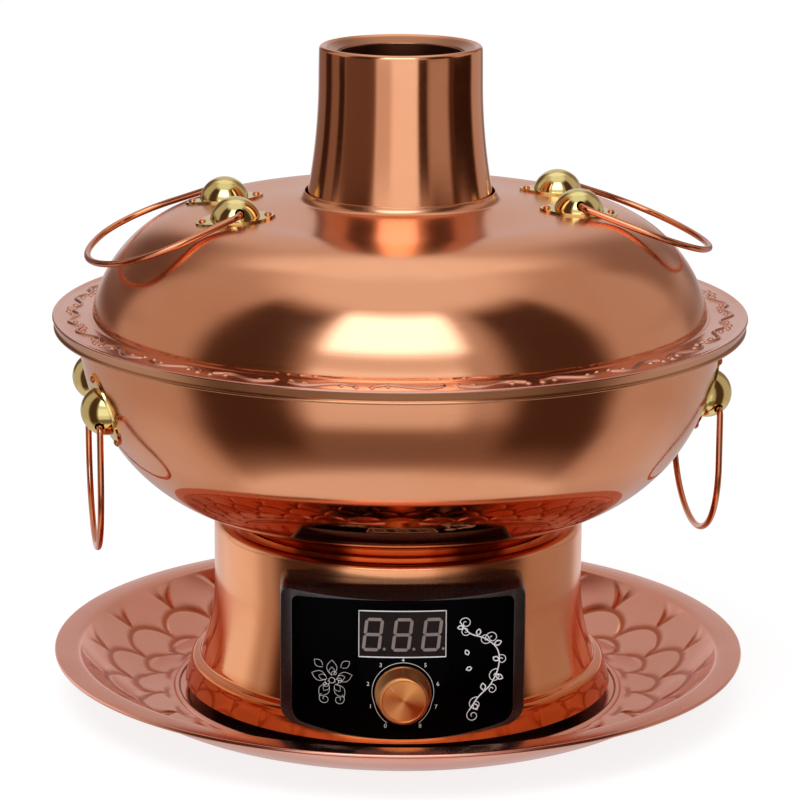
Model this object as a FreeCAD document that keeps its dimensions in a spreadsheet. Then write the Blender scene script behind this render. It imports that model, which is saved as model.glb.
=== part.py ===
"""An electric chimney hot pot: embossed tray, heated base with a control
panel, wide pot with a chimney through its middle, and a domed lid.

Frame: millimetres, +Z up, origin on the floor at the middle of the tray.
The control panel faces -Y.  The pot and the lid stand turned by
`handle_turn` about +Z, as two loose pieces do on a table.
"""

import FreeCAD
import Part
import math
import os

import Sketcher
from FreeCAD import Placement, Rotation, Vector

doc = FreeCAD.newDocument("chimney_hot_pot")
sheet = doc.addObject("Spreadsheet::Sheet", "Sizes")

# Every driving size: name, millimetres (or degrees), what it is.
SIZES = [
    ("handle_turn", 7.0, "turn of pot and lid about the vertical axis"),
    ("metal", 1.2, "wall of the spun pot and lid"),
    ("sheet", 1.0, "wall of the tray, the base shell and the chimney"),
    # tray
    ("tray_radius", 161.5, "outer edge of the tray"),
    ("tray_rim_top", 22.2, "top of the tray's flat rim"),
    ("tray_rim_width", 11.0, "width of the flat rim"),
    ("tray_foot", 120.0, "where the flat floor ends"),
    ("tray_slope", 73.0, "radius of the rising side"),
    ("tray_bead_gap", 4.0, "from the base's skirt to the middle of the raised ring"),
    ("tray_bead_width", 3.4, "width of that ring"),
    ("tray_bead_rise", 2.4, "its height over the floor"),
    # base shell
    ("skirt_run", 2.7, "how far the skirt spreads below its shoulder"),
    ("skirt_bottom", 5.4, "height of the skirt's bottom edge"),
    ("step_run", 2.3, "from the flat ledge out to the skirt's shoulder"),
    ("step_height", 13.8, "height of the shoulder"),
    ("ledge_wide", 2.2, "width of the flat ledge"),
    ("ledge_top", 17.3, "height of the ledge"),
    ("flare_run", 7.0, "from the upright wall out to the ledge"),
    ("flare", 101.3, "radius of the hollow flare over the ledge"),
    ("flare_top", 56.0, "where the flare meets the upright wall"),
    ("wall_radius", 86.0, "upright wall of the base"),
    ("wall_top", 80.3, "where the shoulder starts"),
    ("shoulder", 4.0, "radius of the shoulder"),
    ("top_wide", 10.8, "from the upright wall in to the opening in the top"),
    ("mouth_lip", 6.8, "depth of the turned-down lip"),
    # inside the base
    ("plate_gap", 0.8, "clearance of the bottom plate in the skirt"),
    ("plate_under", 5.6, "underside of the bottom plate"),
    ("plate_thick", 1.2, "bottom plate"),
    ("vent_ring", 40.0, "circle of the vent slots"),
    ("vent_long", 16.0, "length of a vent slot"),
    ("vent_wide", 4.0, "width of a vent slot"),
    ("foot_ring", 80.0, "circle of the rubber feet"),
    ("foot_radius", 8.0, "rubber foot"),
    ("post_ring", 62.0, "circle of the four posts"),
    ("post_radius", 5.0, "post"),
    ("screw_radius", 1.9, "bottom screw"),
    ("deck_top", 69.5, "top of the deck the heater stands on"),
    ("deck_thick", 1.5, "deck"),
    ("deck_clear", 4.0, "from the middle of the heating element to the deck"),
    ("seat_gap", 0.4, "clearance of the pot seat in the base's opening"),
    ("seat_wide", 7.4, "width of the pot seat"),
    ("seat_top", 79.0, "where the pot's foot ring stands"),
    ("heater_gap", 0.6, "clearance of the heating plate in the pot seat"),
    ("heater_top", 91.7, "top of the heating plate"),
    ("heater_thick", 6.0, "thickness of its disc"),
    ("heater_wall", 3.5, "thickness of its skirt"),
    ("element_ring", 46.0, "radius of the heating element's ring"),
    ("element_radius", 4.0, "thickness radius of the element"),
    ("sensor_radius", 8.0, "temperature sensor"),
    ("shield_gap", 0.5, "clearance of the heat shield in the heating plate"),
    ("shield_top", 74.0, "top of the heat shield"),
    # control panel
    ("panel_reach", 18.0, "how far the middle of the panel stands out of the wall"),
    ("panel_bend", 150.0, "radius of its gently bowed face"),
    ("panel_half", 54.5, "half width of the housing"),
    ("panel_top", 77.3, "top of the housing"),
    ("panel_low", 6.2, "lowest point of the housing"),
    ("panel_corner", 10.0, "its lower corners"),
    ("panel_crown", 4.0, "its upper corners"),
    ("bezel", 5.2, "width of the bevel round the face"),
    ("bezel_deep", 11.0, "depth of the bevel"),
    ("bezel_top", 3.9, "height of the bevel over the face"),
    ("bezel_low", 2.6, "height of the bevel under the face"),
    ("face_thick", 2.0, "face plate"),
    ("face_ease", 0.15, "gap round the face plate"),
    ("frame_wide", 3.0, "ledge the face plate sits on"),
    ("display_half", 19.3, "half width of the display"),
    ("display_high", 20.8, "height of the display"),
    ("display_mid", 57.9, "height of the middle of the display"),
    ("board_back", 9.0, "from the middle of the panel back to the control board"),
    ("board_thick", 1.6, "control board"),
    ("board_gap", 0.9, "clearance of the control board in the housing"),
    ("board_low", 26.0, "bottom edge of the control board"),
    ("knob_height", 31.0, "height of the knob's axis"),
    ("knob_radius", 12.55, "knob at the panel"),
    ("knob_front", 10.0, "knob's front face"),
    ("knob_long", 12.4, "length of the knob"),
    ("knob_gap", 0.7, "gap between knob and panel"),
    ("bushing_radius", 3.5, "threaded bushing of the control"),
    ("shaft_radius", 3.0, "control shaft"),
    ("running_fit", 0.05, "clearance of the shaft in its bushing"),
    # power inlet
    ("inlet_height", 37.0, "height of the inlet's middle"),
    ("inlet_reach", 5.0, "how far the inlet stands out of the upright wall"),
    ("inlet_half", 25.0, "half width of its flange"),
    ("inlet_high", 12.0, "half height of its flange"),
    ("socket_half", 12.2, "half width of the socket"),
    ("socket_high", 8.4, "half height of the socket"),
    ("socket_deep", 16.0, "depth of the socket"),
    # pot
    ("bowl_floor", 92.0, "underside of the pot's floor"),
    ("bowl_radius", 148.2, "bowl at its top"),
    ("bowl_spread", 58.2, "how far the side spreads from the floor's crease to the top"),
    ("bowl_low", 77.3, "lower curve of the bowl"),
    ("bowl_high", 99.8, "upper curve of the bowl"),
    ("bowl_high_spread", 13.14, "how far the upper curve spreads"),
    ("bowl_mid_height", 127.93, "height where the two curves meet"),
    ("rim_overhang", 11.8, "how far the rim stands out past the bowl"),
    ("rim_shelf", 12.2, "how far the rim reaches in over the bowl"),
    ("rim_top", 182.0, "top of the rim"),
    ("rim_deep", 6.2, "height of the rim's side"),
    ("foot_inset", 0.6, "from the edge of the pot seat in to the pot's foot ring"),
    ("cone_base", 60.0, "cone inside the pot, at its floor"),
    ("cone_top", 226.0, "height of the cone"),
    ("stack_radius", 42.6, "chimney where it enters the lid"),
    ("stack_foot", 214.0, "lower end of the chimney tube"),
    ("stack_curve_low", 236.0, "where the chimney starts to narrow"),
    ("stack_curve_high", 291.0, "where it has narrowed"),
    ("stack_curve", 291.6, "radius of its hollow side"),
    ("stack_neck", 37.4, "radius where it has narrowed"),
    ("stack_top_radius", 37.2, "chimney at its lip"),
    ("stack_top", 304.6, "top of the chimney"),
    ("stack_lip", 1.8, "radius of the rounded lip"),
    ("stack_bore", 29.0, "opening of the chimney"),
    ("stack_sink", 3.3, "how far the opening lies below the lip"),
    ("liner_foot", 240.0, "lower end of the inner tube"),
    # lid
    ("lid_lap", 5.5, "how far the lid's edge rests on the rim"),
    ("lid_side", 61.2, "curve of the lid's side"),
    ("lid_shoulder", 57.7, "how far the side runs inward to meet the crown"),
    ("lid_break_height", 230.85, "height of that meeting"),
    ("lid_crown", 309.0, "hollow curve of the lid's crown"),
    ("lid_collar", 4.5, "from the hole out to where the collar starts"),
    ("lid_flat_height", 233.98, "height where the collar starts"),
    ("lid_fillet", 3.86, "hollow curve of the collar"),
    ("lid_hole_gap", 0.9, "clearance of the hole round the chimney"),
    ("lid_ring_gap", 0.4, "clearance of the ring that keeps the lid in the mouth"),
    ("lid_ring_foot", 176.5, "bottom of that ring"),
    # ears and bails
    ("dome", 11.5, "radius of an ear's dome"),
    ("dome_wall", 1.1, "wall of the dome"),
    ("dome_sink", 1.2, "how far the dome's middle lies inside the wall"),
    ("ear_long", 18.0, "half length of an ear's flange"),
    ("ear_wide", 12.6, "half width of an ear's flange"),
    ("ear_thick", 1.0, "flange"),
    ("ear_hole", 2.2, "hole for the bail"),
    ("ear_hole_up", 4.0, "height of that hole over the flange's foot"),
    ("rivet_reach", 14.8, "rivet's distance from the middle of the ear"),
    ("rivet_radius", 1.0, "rivet shank"),
    ("rivet_head", 1.7, "rivet head"),
    ("rivet_seat", 0.03, "how far head and clench stand off the curved wall"),
    ("lid_ear_inset", 5.5, "lid ears: how far inside that meeting of side and crown"),
    ("lid_ear_half", 25.2, "lid ears: half the distance between them"),
    ("lid_ear_shift", -1.0, "lid ears: hole's distance outward of the middle"),
    ("pot_ear_height", 146.0, "pot ears: height"),
    ("pot_ear_half", 33.0, "pot ears: half the distance between them"),
    ("pot_ear_shift", 4.2, "pot ears: hole's distance below the middle"),
    ("wire", 1.5, "radius of the bail wire"),
    ("bail_end", 7.0, "length of wire inside an ear"),
    ("bail_reach", 70.5, "length of a lid bail"),
    ("lid_bail_bend", 5.0, "lid bail: bend where the wire leaves the ear"),
    ("lid_bail_splay", 17.0, "lid bail: how far it opens, in degrees"),
    ("lid_bail_corner", 30.0, "lid bail: its corners"),
    ("lid_bail_drop", 20.5, "lid bail: its slope at rest, in degrees"),
    ("pot_bail_bend", 3.0, "pot bail: bend where the wire leaves the ear"),
    ("pot_bail_splay", 1.0, "pot bail: how far it opens, in degrees"),
    ("pot_bail_corner", 38.0, "pot bail: its corners"),
]

# Sizes that follow from those: name, formula, what it is.
FOLLOWING = [
    ("ledge_inner", "wall_radius + flare_run", "inner edge of the flat ledge"),
    ("ledge_outer", "ledge_inner + ledge_wide", "outer edge of the flat ledge"),
    ("step_radius", "ledge_outer + step_run", "shoulder of the skirt"),
    ("skirt_radius", "step_radius + skirt_run", "bottom edge of the base"),
    ("tray_bead", "skirt_radius + tray_bead_gap", "middle of the raised ring"),
    ("mouth_radius", "wall_radius - top_wide", "opening in the top of the base"),
    ("plate_radius", "skirt_radius - sheet - plate_gap", "bottom plate"),
    ("deck_hole", "element_ring + deck_clear", "opening in the deck"),
    ("seat_outer", "mouth_radius - seat_gap", "outer radius of the pot seat"),
    ("seat_inner", "seat_outer - seat_wide", "inner radius of the pot seat"),
    ("heater_radius", "seat_inner - heater_gap", "heating plate"),
    ("shield_radius", "heater_radius - heater_wall - shield_gap", "heat shield"),
    ("foot_outer", "seat_outer - foot_inset", "foot ring under the pot"),
    ("panel_front", "wall_radius + panel_reach", "middle of the panel's face"),
    ("board_front", "panel_front - board_back", "front of the control board"),
    ("board_half", "panel_half - bezel - frame_wide - board_gap", "half width of the board"),
    ("board_top", "panel_top - bezel_top - frame_wide - board_gap", "top edge of the board"),
    ("inlet_front", "wall_radius + inlet_reach", "front of the power inlet"),
    ("bowl_edge", "bowl_radius - bowl_spread", "crease where the pot's floor ends"),
    ("bowl_mid_radius", "bowl_radius - bowl_high_spread", "where the two curves meet"),
    ("rim_radius", "bowl_radius + rim_overhang", "outer edge of the pot"),
    ("rim_inner", "bowl_radius - rim_shelf", "mouth of the pot"),
    ("cone_top_radius", "stack_radius + metal", "cone at its top"),
    ("lid_radius", "rim_inner + lid_lap", "outer edge of the lid"),
    ("lid_break_radius", "lid_radius - lid_shoulder", "where side and crown meet"),
    ("lid_hole", "stack_radius + lid_hole_gap", "hole round the chimney"),
    ("lid_flat", "lid_hole + lid_collar", "where the collar starts"),
    ("lid_ring", "rim_inner - lid_ring_gap", "ring that keeps the lid in the mouth"),
    ("lid_ear_reach", "lid_break_radius - lid_ear_inset", "line of the lid's ears"),
    ("pot_bail_reach", "bail_reach - 4.5", "length of a pot bail"),
]

for row, (name, value, note) in enumerate(SIZES + FOLLOWING, start=1):
    sheet.set(f"A{row}", name)
    sheet.set(f"B{row}", f"={value}")
    sheet.setAlias(f"B{row}", name)
    sheet.set(f"C{row}", note)
doc.recompute()


class Size:
    """A length that knows its number and the cell formula it comes from."""

    def __init__(self, value, formula):
        self.value = value
        self.formula = formula

    def join(self, other, sign, value):
        right = other.formula if isinstance(other, Size) else repr(other)
        return Size(value, f"({self.formula} {sign} {right})")

    def __add__(self, other):
        return self.join(other, "+", self.value + number(other))

    def __sub__(self, other):
        return self.join(other, "-", self.value - number(other))

    def __mul__(self, other):
        return self.join(other, "*", self.value * number(other))

    def __truediv__(self, other):
        return self.join(other, "/", self.value / number(other))

    def __neg__(self):
        return Size(-self.value, f"(0 - {self.formula})")


def number(value):
    return value.value if isinstance(value, Size) else float(value)


class Cells:
    """The spreadsheet's cells by name."""


S = Cells()
for name, value, note in SIZES + FOLLOWING:
    setattr(S, name, Size(float(sheet.get(name)), f"Sizes.{name}"))


def bind(thing, prop, size):
    """Give a property its number and tie it to the cells."""
    if isinstance(size, Size):
        thing.setExpression(prop, size.formula)
    else:
        setattr(thing, prop, size)


# ---------------------------------------------------------------- sketches

def origin_plane(body, role):
    for feature in body.Origin.OriginFeatures:
        if feature.Role == role:
            return feature
    raise ValueError(role)


def new_body(label):
    body = doc.addObject("PartDesign::Body", label)
    body.Label = label
    return body


def new_sketch(body, role, lift=None):
    """A sketch on one of the body's origin planes, lifted along its normal."""
    sketch = body.newObject("Sketcher::SketchObject", "sketch")
    sketch.AttachmentSupport = [(origin_plane(body, role), "")]
    sketch.MapMode = "FlatFace"
    if lift is not None:
        offset = Placement(Vector(0, 0, number(lift)), Rotation())
        sketch.AttachmentOffset = offset
        if isinstance(lift, Size):
            sketch.setExpression("AttachmentOffset.Base.z", lift.formula)
    return sketch


def fix_point(sketch, geometry, end, x, y):
    """Hold one end of a line or arc at sizes x, y from the origin."""
    if number(x) == 0.0:
        sketch.addConstraint(Sketcher.Constraint("PointOnObject", geometry, end, -2))
    else:
        at = sketch.addConstraint(
            Sketcher.Constraint("DistanceX", -1, 1, geometry, end, number(x)))
        if isinstance(x, Size):
            sketch.setExpression(f"Constraints[{at}]", x.formula)
    if number(y) == 0.0:
        sketch.addConstraint(Sketcher.Constraint("PointOnObject", geometry, end, -1))
    else:
        at = sketch.addConstraint(
            Sketcher.Constraint("DistanceY", -1, 1, geometry, end, number(y)))
        if isinstance(y, Size):
            sketch.setExpression(f"Constraints[{at}]", y.formula)


def arc_between(start, end, radius, turn):
    """The short arc that leaves `start` and reaches `end`, turning one way."""
    chord = end - start
    middle = (start + end) * 0.5
    side = Vector(-chord.y, chord.x, 0).normalize()
    if turn == "right":
        side = side * -1
    depth = math.sqrt(max(radius ** 2 - (chord.Length / 2) ** 2, 0.0))
    centre = middle + side * depth
    first, last = (start, end) if turn == "left" else (end, start)
    angles = [math.atan2(p.y - centre.y, p.x - centre.x) for p in (first, last)]
    if angles[1] <= angles[0]:
        angles[1] += 2 * math.pi
    circle = Part.Circle(centre, Vector(0, 0, 1), radius)
    return Part.ArcOfCircle(circle, angles[0], angles[1])


def outline(sketch, start, steps, closed=True):
    """Draw a chain of lines and arcs.

    A step is (x, y) for a line or (x, y, radius, "left" or "right") for an
    arc.  Every corner is held by two sizes and every arc by its radius.
    A closed chain gets a last line home unless its last step ends there.
    """
    first = Vector(number(start[0]), number(start[1]), 0)
    here = first
    ends = []
    for step in steps:
        there = Vector(number(step[0]), number(step[1]), 0)
        if len(step) == 2:
            at = sketch.addGeometry(Part.LineSegment(here, there), False)
            ends.append((at, 1, 2))
        else:
            arc = arc_between(here, there, number(step[2]), step[3])
            at = sketch.addGeometry(arc, False)
            ends.append((at, 1, 2) if step[3] == "left" else (at, 2, 1))
            hold = sketch.addConstraint(
                Sketcher.Constraint("Radius", at, number(step[2])))
            if isinstance(step[2], Size):
                sketch.setExpression(f"Constraints[{hold}]", step[2].formula)
        here = there
    if closed and here.distanceToPoint(first) > 1e-6:
        at = sketch.addGeometry(Part.LineSegment(here, first), False)
        ends.append((at, 1, 2))
    for k, (at, near, far) in enumerate(ends):
        if closed or k + 1 < len(ends):
            after = ends[(k + 1) % len(ends)]
            sketch.addConstraint(
                Sketcher.Constraint("Coincident", at, far, after[0], after[1]))
    fix_point(sketch, ends[0][0], ends[0][1], start[0], start[1])
    home = closed and len(ends) == len(steps)
    for k, step in enumerate(steps[:-1] if home else steps):
        fix_point(sketch, ends[k][0], ends[k][2], step[0], step[1])
    return sketch


def circle(sketch, x, y, radius):
    at = sketch.addGeometry(
        Part.Circle(Vector(number(x), number(y), 0), Vector(0, 0, 1), number(radius)), False)
    hold = sketch.addConstraint(Sketcher.Constraint("Radius", at, number(radius)))
    if isinstance(radius, Size):
        sketch.setExpression(f"Constraints[{hold}]", radius.formula)
    if number(x) == 0.0 and number(y) == 0.0:
        sketch.addConstraint(Sketcher.Constraint("Coincident", at, 3, -1, 1))
    else:
        fix_point(sketch, at, 3, x, y)


def rectangle(sketch, left, low, right, top):
    outline(sketch, (left, low), [(right, low), (right, top), (left, top)])


def feature(body, kind, name, profile, **settings):
    made = body.newObject(kind, name)
    made.Profile = profile
    for prop, size in settings.items():
        bind(made, prop, size)
    return made


def spin(body, start, steps):
    """Turn a closed outline (radius, height) about the vertical axis."""
    sketch = outline(new_sketch(body, "XZ_Plane"), start, steps)
    turned = body.newObject("PartDesign::Revolution", "turned")
    turned.Profile = sketch
    turned.ReferenceAxis = (sketch, ["V_Axis"])
    turned.Angle = 360.0


def spun(label, start, steps):
    body = new_body(label)
    spin(body, start, steps)
    return body


def pad(body, sketch, length):
    return feature(body, "PartDesign::Pad", "pad", sketch, Length=length)


def pocket(body, sketch, length, reverse=False):
    made = feature(body, "PartDesign::Pocket", "pocket", sketch, Length=length)
    made.Reversed = reverse
    return made


def ring_pattern(body, features, count):
    """Repeat features evenly round the vertical axis."""
    pattern = body.newObject("PartDesign::PolarPattern", "ring")
    pattern.Originals = features
    axis = origin_plane(body, "Z_Axis")
    pattern.Axis = (axis, [""])
    pattern.Angle = 360.0
    pattern.Occurrences = count
    body.Tip = pattern
    return pattern


# -------------------------------------------------------- solids and cuts

def cylinder(label, radius, height, place=None):
    made = doc.addObject("Part::Cylinder", label)
    bind(made, "Radius", radius)
    bind(made, "Height", height)
    made.Placement = place or Placement()
    return made


def block(label, corner, sides):
    made = doc.addObject("Part::Box", label)
    for prop, size in zip(("Length", "Width", "Height"), sides):
        bind(made, prop, size)
    made.Placement = Placement(Vector(*[number(c) for c in corner]), Rotation())
    for axis, size in zip("xyz", corner):
        if isinstance(size, Size):
            made.setExpression(f"Placement.Base.{axis}", size.formula)
    return made


def ball(label, radius, place=None):
    made = doc.addObject("Part::Sphere", label)
    bind(made, "Radius", radius)
    made.Placement = place or Placement()
    return made


def combine(kind, label, base, *tools):
    """Chain a boolean: Part::Cut, Part::Common or Part::Fuse."""
    made = base
    for count, tool in enumerate(tools, start=1):
        name = label if count == len(tools) else f"{label}_step"
        step = doc.addObject(kind, name)
        step.Base = made
        step.Tool = tool
        made = step
    made.Label = label
    return made


def several(label, members):
    made = doc.addObject("Part::Compound", label)
    made.Links = members
    made.Label = label
    return made


def at_back(x, y, z):
    """A local frame whose +Z points to the back of the pot, +Y."""
    return Placement(Vector(x, y, z), Rotation(Vector(1, 0, 0), -90))


def at_front(x, y, z):
    """A local frame whose +Z points out of the control panel, -Y."""
    return Placement(Vector(x, y, z), Rotation(Vector(1, 0, 0), 90))


nodes = {}


def keep(node):
    nodes[node.Label] = node
    return node


# -------------------------------------------------------------------- tray

bead_low = S.tray_bead - S.tray_bead_width / 2
bead_high = S.tray_bead + S.tray_bead_width / 2
bead_curve = S.tray_bead_rise * 0.5 + S.tray_bead_width * S.tray_bead_width / 8 / S.tray_bead_rise
rim_start = S.tray_radius - S.tray_rim_width
rim_under = S.tray_rim_top - S.sheet
keep(spun("drip_tray", (0, 0), [
    (S.tray_foot + S.sheet * 0.4, 0),
    (rim_start - 0.4, rim_under - 1.0, S.tray_slope + S.sheet, "left"),
    (rim_start + 0.8, rim_under),
    (S.tray_radius - S.sheet, rim_under),
    (S.tray_radius - S.sheet, rim_under - 1.2),
    (S.tray_radius, rim_under - 1.2),
    (S.tray_radius, S.tray_rim_top - 0.8),
    (S.tray_radius - 0.8, S.tray_rim_top, 0.8, "left"),
    (rim_start + 0.5, S.tray_rim_top),
    (rim_start - 0.9, S.tray_rim_top - 1.0),
    (S.tray_foot, S.sheet, S.tray_slope, "right"),
    (bead_high, S.sheet),
    (bead_low, S.sheet, bead_curve, "left"),
    (0, S.sheet),
]))

# -------------------------------------------------------------------- base

shell_outside = [
    (S.step_radius, S.step_height),
    (S.ledge_outer, S.ledge_top, 3.0, "left"),
    (S.ledge_inner, S.ledge_top),
    (S.wall_radius, S.flare_top, S.flare, "right"),
    (S.wall_radius, S.wall_top),
    (S.wall_radius - S.shoulder, S.wall_top + S.shoulder, S.shoulder, "left"),
    (S.mouth_radius + S.sheet, S.wall_top + S.shoulder),
]
shell_top = S.wall_top + S.shoulder

shell = new_body("base_shell")
spin(shell, (S.skirt_radius, S.skirt_bottom), shell_outside + [
    (S.mouth_radius, shell_top - S.sheet, S.sheet, "left"),
    (S.mouth_radius, shell_top - S.mouth_lip),
    (S.mouth_radius + S.sheet, shell_top - S.mouth_lip),
    (S.mouth_radius + S.sheet, shell_top - S.sheet),
    (S.wall_radius - S.shoulder, shell_top - S.sheet),
    (S.wall_radius - S.sheet, S.wall_top, S.shoulder - S.sheet, "right"),
    (S.wall_radius - S.sheet, S.flare_top),
    (S.ledge_inner - S.sheet, S.ledge_top - S.sheet * 0.6, S.flare + S.sheet, "left"),
    (S.ledge_outer - 0.4, S.ledge_top - S.sheet),
    (S.step_radius - S.sheet, S.step_height - 0.3, 2.0, "right"),
    (S.skirt_radius - S.sheet, S.skirt_bottom),
])
window = new_sketch(shell, "XZ_Plane")
rectangle(window, -S.board_half + 3.0, S.board_low, S.board_half - 3.0, S.board_top + 1.0)
pocket(shell, window, S.skirt_radius + 10.0, True)
inlet_gap = new_sketch(shell, "XZ_Plane")
rectangle(inlet_gap, -S.socket_half - 2.2, S.inlet_height - S.socket_high - 2.2,
          S.socket_half + 2.2, S.inlet_height + S.socket_high + 2.2)
pocket(shell, inlet_gap, S.skirt_radius + 10.0, False)

base_volume = spun("base_volume", (0, S.skirt_bottom), [
    (S.skirt_radius, S.skirt_bottom)] + shell_outside + [(0, shell_top)])

plate = new_body("base_bottom_plate")
disc = new_sketch(plate, "XY_Plane", S.plate_under)
circle(disc, 0, 0, S.plate_radius)
for turn in range(4):
    angle = math.radians(45 + 90 * turn)
    circle(disc, S.post_ring * math.cos(angle), S.post_ring * math.sin(angle),
           S.screw_radius + 0.3)
pad(plate, disc, S.plate_thick)
slot = new_sketch(plate, "XY_Plane", S.plate_under)
rectangle(slot, S.vent_ring, -S.vent_wide / 2, S.vent_ring + S.vent_long, S.vent_wide / 2)
vent = pocket(plate, slot, S.plate_thick, True)
ring_pattern(plate, [vent], 12)
keep(plate)

feet = []
for turn in range(4):
    angle = math.radians(90 * turn)
    foot = doc.addObject("Part::Cone", f"foot_{turn}")
    bind(foot, "Radius1", S.foot_radius - 1.0)
    bind(foot, "Radius2", S.foot_radius)
    bind(foot, "Height", S.plate_under - S.sheet)
    foot.Placement = Placement(Vector(S.foot_ring.value * math.cos(angle),
                                      S.foot_ring.value * math.sin(angle),
                                      S.sheet.value), Rotation())
    feet.append(foot)
keep(several("rubber_feet", feet))

chassis = new_body("base_chassis")
deck = new_sketch(chassis, "XY_Plane", S.deck_top - S.deck_thick)
circle(deck, 0, 0, S.wall_radius - S.sheet - 0.2)
circle(deck, 0, 0, S.deck_hole)
pad(chassis, deck, S.deck_thick)
post = new_sketch(chassis, "XY_Plane", S.plate_under + S.plate_thick)
post_at = S.post_ring * math.sqrt(0.5)
circle(post, post_at, post_at, S.post_radius)
circle(post, post_at, post_at, S.screw_radius)
legs = pad(chassis, post, S.deck_top - S.deck_thick - S.plate_under - S.plate_thick)
ring_pattern(chassis, [legs], 4)
keep(chassis)

screws = []
for turn in range(4):
    angle = math.radians(45 + 90 * turn)
    x = S.post_ring.value * math.cos(angle)
    y = S.post_ring.value * math.sin(angle)
    head = cylinder("head", S.screw_radius + 1.3, 1.4,
                    Placement(Vector(x, y, S.plate_under.value - 1.4), Rotation()))
    shank = cylinder("shank", S.screw_radius, 16.0,
                     Placement(Vector(x, y, S.plate_under.value), Rotation()))
    screws.append(combine("Part::Fuse", f"screw_{turn}", head, shank))
keep(several("base_screws", screws))

keep(spun("pot_seat_ring", (S.seat_inner, S.deck_top), [
    (S.seat_outer, S.deck_top),
    (S.seat_outer, S.seat_top),
    (S.seat_inner + 1.0, S.seat_top),
    (S.seat_inner, S.seat_top - 1.0),
]))

disc_under = S.heater_top - S.heater_thick
sensor_hole = S.sensor_radius + 0.2
element_height = disc_under - S.element_radius * 0.25
heater = new_body("heating_plate_body")
spin(heater, (sensor_hole, disc_under), [
    (S.heater_radius - S.heater_wall, disc_under),
    (S.heater_radius - S.heater_wall, S.deck_top),
    (S.heater_radius, S.deck_top),
    (S.heater_radius, S.heater_top - 1.0),
    (S.heater_radius - 1.0, S.heater_top, 1.0, "left"),
    (sensor_hole, S.heater_top),
])


def element_tube(label, radius):
    """The heating element's ring, open at the back."""
    tube = doc.addObject("Part::Torus", label)
    bind(tube, "Radius1", S.element_ring)
    bind(tube, "Radius2", radius)
    tube.Angle3 = 330.0
    tube.Placement = Placement(Vector(0, 0, element_height.value),
                               Rotation(Vector(0, 0, 1), 105))
    tube.setExpression("Placement.Base.z", element_height.formula)
    return tube


keep(combine("Part::Cut", "heating_plate", heater,
             element_tube("element_groove", S.element_radius)))
element = element_tube("element_ring", S.element_radius)
tails = []
for angle in (105.0, 75.0):
    x = S.element_ring.value * math.cos(math.radians(angle))
    y = S.element_ring.value * math.sin(math.radians(angle))
    tail_top = element_height.value - 1.0
    tail_foot = S.deck_top.value - 12.0
    tails.append(cylinder("tail", 2.6, tail_top - tail_foot,
                          Placement(Vector(x, y, tail_foot), Rotation())))
keep(combine("Part::Fuse", "heating_element", element, *tails))

shield = new_body("heat_shield")
spin(shield, (sensor_hole + 1.0, S.shield_top - 0.8), [
    (S.shield_radius - 0.8, S.shield_top - 0.8),
    (S.shield_radius - 0.8, S.deck_top),
    (S.shield_radius, S.deck_top),
    (S.shield_radius, S.shield_top - 0.6),
    (S.shield_radius - 0.6, S.shield_top, 0.6, "left"),
    (sensor_hole + 1.0, S.shield_top),
])
gaps = new_sketch(shield, "XY_Plane", S.shield_top)
for angle in (105.0, 75.0):
    circle(gaps, S.element_ring * math.cos(math.radians(angle)),
           S.element_ring * math.sin(math.radians(angle)), 3.2)
pocket(shield, gaps, 3.0)
keep(shield)

keep(spun("temperature_sensor", (0, S.shield_top - 8.0), [
    (S.sensor_radius - 3.0, S.shield_top - 8.0),
    (S.sensor_radius - 3.0, disc_under - 3.0),
    (S.sensor_radius, disc_under - 3.0),
    (S.sensor_radius, S.heater_top),
    (0, S.heater_top),
]))

# ----------------------------------------------------------- control panel

CORNER_END = math.radians(75)
DROP = math.sin(CORNER_END)
SHIFT = 1 - math.cos(CORNER_END)
SAG = math.tan(math.radians(7.5))
SWEEP = 1 / math.sin(math.radians(15))


def shield_shape(sketch, half, top, low, crown, corner):
    """The panel's outline: flat top, upright sides, gently bowed bottom."""
    turn_in = half - corner * SHIFT
    corner_top = low + turn_in * SAG + corner * DROP
    foot = low + turn_in * SAG
    outline(sketch, (half - crown, top), [
        (-half + crown, top),
        (-half, top - crown, crown, "left"),
        (-half, corner_top),
        (-turn_in, foot, corner, "left"),
        (turn_in, foot, turn_in * SWEEP, "left"),
        (half, corner_top, corner, "left"),
        (half, top - crown),
        (half - crown, top, crown, "left"),
    ])


def shield_prism(label, inset_side, inset_top, inset_low, back, front):
    """The panel's outline, drawn in by some amounts and run from back to front."""
    body = new_body(label)
    face = new_sketch(body, "XZ_Plane", back)
    shield_shape(face, S.panel_half - inset_side, S.panel_top - inset_top,
                 S.panel_low + inset_low, S.panel_crown - inset_side * 0.25,
                 S.panel_corner - inset_side * 0.6)
    pad(body, face, front - back)
    return body


bow_at = Vector(0, S.panel_bend.value - S.panel_front.value, 0)


def bow(label, inward):
    """A cylinder whose side is the bowed face, `inward` under its surface."""
    return cylinder(label, S.panel_bend - inward, S.panel_top + 20.0,
                    Placement(bow_at, Rotation()))


bevel_start = S.panel_front - S.bezel_deep
housing_block = shield_prism("housing_block", 0.0, 0.0, 0.0, S.panel_front - 55.0,
                             bevel_start)
bevel = new_body("housing_bevel")
wide = new_sketch(bevel, "XZ_Plane", bevel_start)
shield_shape(wide, S.panel_half, S.panel_top, S.panel_low, S.panel_crown, S.panel_corner)
narrow = new_sketch(bevel, "XZ_Plane", S.panel_front)
shield_shape(narrow, S.panel_half - S.bezel, S.panel_top - S.bezel_top,
             S.panel_low + S.bezel_low, S.panel_crown - S.bezel * 0.25,
             S.panel_corner - S.bezel * 0.6)
loft = bevel.newObject("PartDesign::AdditiveLoft", "loft")
loft.Profile = wide
loft.Sections = [narrow]
loft.Ruled = True

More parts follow.
